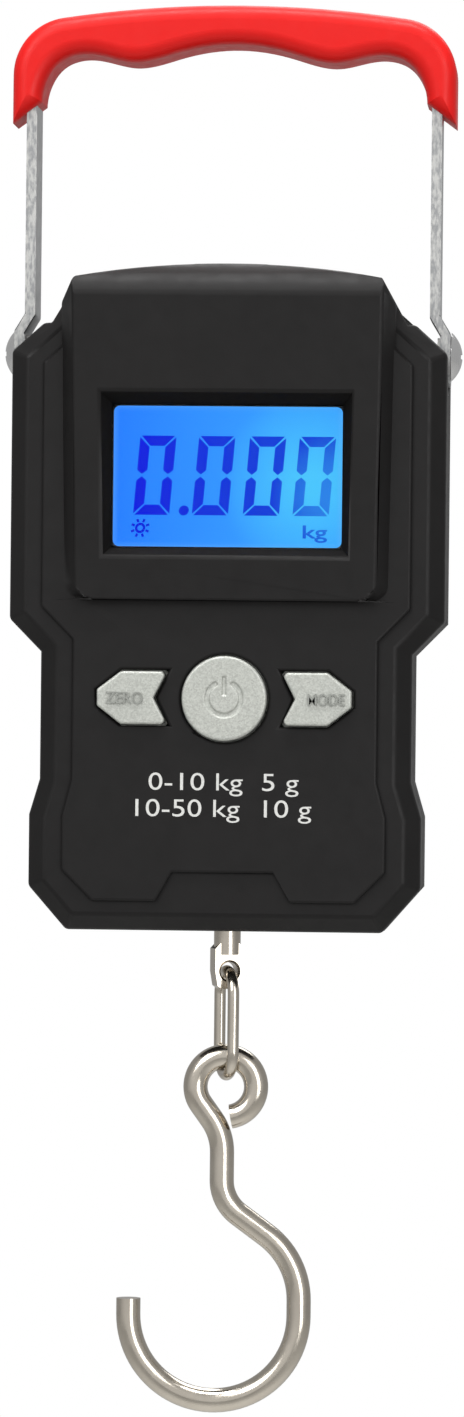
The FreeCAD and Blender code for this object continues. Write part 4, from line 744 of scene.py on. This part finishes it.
def display_segments():
    """Four seven-segment zeros with a point after the first, a lamp sign and the unit sign."""
    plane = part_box("lcd_panel")[0].y - 0.02 * MM
    middle = CASE_FOOT + 74.0 * MM
    tall, wide, stroke, slit = 12.9 * MM, 5.9 * MM, 1.66 * MM, 0.12 * MM
    slope = 0.085
    shape = bmesh.new()

    def lay(points, across, up):
        spots = [shape.verts.new((across + x + slope * z, plane, up + z)) for x, z in points]
        shape.faces.new(spots)

    half_w, half_t = wide / 2, tall / 2
    bar = [(-half_w + slit + 0.1 * MM, half_t), (half_w - slit - 0.1 * MM, half_t),
           (half_w - stroke - slit, half_t - stroke), (-half_w + stroke + slit, half_t - stroke)]
    nib = stroke * 0.45
    post = [(half_w, half_t - slit * 2), (half_w - stroke, half_t - stroke - slit * 1.6),
            (half_w - stroke, nib + slit), (half_w - stroke / 2, slit * 1.5), (half_w, nib + slit)]
    base = middle + 0.15 * MM
    digit_middles = (-11.9, -2.3, 6.0, 14.1)
    for centre in digit_middles:
        for mirror_x, mirror_z, points in ((1, 1, bar), (1, -1, bar), (1, 1, post), (-1, 1, post),
                                           (1, -1, post), (-1, -1, post)):
            turned = [(x * mirror_x, z * mirror_z) for x, z in points]
            lay(turned, centre * MM, base)
    point, round_steps = 0.82 * MM, 24
    lay([(point * math.cos(a), point * math.sin(a)) for a in
         [math.tau * step / round_steps for step in range(round_steps)]], -7.1 * MM, base - 5.7 * MM)

    lamp_x, lamp_z = -14.2 * MM, base - 8.6 * MM
    ring_in, ring_out = 0.45, 0.85
    for step in range(round_steps):
        first, second = math.tau * step / round_steps, math.tau * (step + 1) / round_steps
        lay([(r * math.cos(a) * MM, r * math.sin(a) * MM) for r, a in
             ((ring_in, first), (ring_out, first), (ring_out, second), (ring_in, second))], lamp_x, lamp_z)
    beams, beam_in, beam_out, beam_half = 8, 1.0, 1.55, 0.19
    for step in range(beams):
        angle = math.tau * (step + 0.5) / beams
        along = Vector((math.cos(angle), math.sin(angle)))
        beside = Vector((-along.y, along.x)) * beam_half
        lay([((along * r + beside * s).x * MM, (along * r + beside * s).y * MM) for r, s in
             ((beam_in, -1), (beam_out, -1), (beam_out, 1), (beam_in, 1))], lamp_x, lamp_z)
    face_the_reader(shape)
    settle("lcd_segments", shape, [SEGMENT_BLUE], "housing")
    unit_spot = (14.3 * MM, plane + 0.005 * MM, base - 9.0 * MM)
    lettering("lcd_unit_sign", "kg", 2.1, 4.0, 0.015, 0.015, unit_spot, SEGMENT_BLUE, "housing")


display_segments()


def window_border_print():
    """The black border printed on the back of the display window, with a round-cornered opening."""
    low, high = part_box("display_lens")
    middle = (low + high) / 2
    plane = high.y + 0.02 * MM
    half_wide, half_tall, corner = 18.65 * MM, 11.45 * MM, 1.0 * MM
    inner = []
    for quarter, (way_x, way_z) in enumerate(((1, 1), (-1, 1), (-1, -1), (1, -1))):
        for step in range(7):
            angle = math.tau * (quarter + step / 6) / 4
            inner.append((way_x * (half_wide - corner) + corner * math.cos(angle),
                          way_z * (half_tall - corner) + corner * math.sin(angle)))
    margin = 0.2 * MM
    reach_x, reach_z = high.x - margin, (high.z - low.z) / 2 - margin
    outer = [(max(-reach_x, min(reach_x, x * 2)), max(-reach_z, min(reach_z, z * 2))) for x, z in inner]
    shape = bmesh.new()
    rings = [[shape.verts.new((middle.x + x, plane, middle.z + z)) for x, z in points]
             for points in (inner, outer)]
    join_rows(shape, rings)
    face_the_reader(shape)
    settle("window_border", shape, [EPOXY_BLACK], "housing")


window_border_print()


# ---------------------------------------------------------------- floor, light and camera
def studio_floor():
    """A plain, pale, matt floor well below the hanging hook."""
    shape = bmesh.new()
    bmesh.ops.create_circle(shape, cap_ends=True, segments=96, radius=9.0)
    bmesh.ops.translate(shape, verts=shape.verts, vec=(0, 0, -1.7))
    mesh = bpy.data.meshes.new("studio_floor")
    shape.to_mesh(mesh)
    shape.free()
    material, tree, shader, spot = begin("matt_white_floor", "#f4f4f2", Roughness=0.8)
    mottle(tree, shader, grain(tree, spot, 400.0), ("#f2f2f0", "#f7f7f5"))
    mesh.materials.append(material)
    floor = bpy.data.objects.new("studio_floor", mesh)
    bpy.context.scene.collection.objects.link(floor)


def soft_light(name, spot, aim, size, watts):
    """A white rectangular studio light at a spot, turned to face the aim."""
    data = bpy.data.lights.new(name, "AREA")
    data.shape = "RECTANGLE"
    data.size, data.size_y = size
    data.energy = watts
    lamp = bpy.data.objects.new(name, data)
    lamp.location = spot
    lamp.rotation_euler = (Vector(aim) - Vector(spot)).to_track_quat("-Z", "Y").to_euler()
    bpy.context.scene.collection.objects.link(lamp)


studio_floor()
AIM = Vector((0, 0, -112 * MM))
soft_light("key_light", (-0.75, -1.2, 0.75), AIM, (0.8, 1.0), 14)
soft_light("fill_light", (0.8, -1.25, 0.1), AIM, (0.6, 1.2), 9)
soft_light("top_light", (0.0, -0.3, 1.1), AIM, (1.0, 0.5), 17)
soft_light("rear_light", (0.3, 1.1, 1.3), AIM, (1.2, 1.2), 16)

world = bpy.data.worlds.new("studio")
world.use_nodes = True
bpy.context.scene.world = world
sky = world.node_tree
sky.nodes.clear()
rays = add(sky, "ShaderNodeLightPath")
bright = add(sky, "ShaderNodeBackground", {"Color": colour("#ffffff"), "Strength": 1.0})
# The studio's diffusers are in front, and the room beside and behind the object is dim.
way = add(sky, "ShaderNodeTexCoord")
parts = add(sky, "ShaderNodeSeparateXYZ", {"Vector": way.outputs["Generated"]})
room = spread(sky, parts.outputs["Y"], 0.8, 0.4, band=(-0.95, -0.1))
dim = add(sky, "ShaderNodeBackground", {"Color": colour("#ffffff"), "Strength": room})
both = add(sky, "ShaderNodeMixShader", {0: rays.outputs["Is Camera Ray"], 1: dim.outputs[0],
                                        2: bright.outputs[0]})
add(sky, "ShaderNodeOutputWorld", {"Surface": both.outputs[0]})

TURN = math.radians(3.6)
ROLL = math.radians(0.61)
DISTANCE = 1.0
camera_data = bpy.data.cameras.new("camera")
camera_data.lens = 154.3
camera_data.sensor_width = 36.0
camera = bpy.data.objects.new("camera", camera_data)
bpy.context.scene.collection.objects.link(camera)
bpy.context.scene.camera = camera
look = Vector((-math.sin(TURN), math.cos(TURN), 0))
aim = Vector((0.36 * MM, 0, -112.0 * MM))
camera.location = aim - look * DISTANCE
level_view = look.to_track_quat("-Z", "Y").to_matrix()
camera.rotation_euler = (level_view @ Matrix.Rotation(ROLL, 3, "Z")).to_euler()
bpy.context.scene.view_settings.view_transform = "Standard"
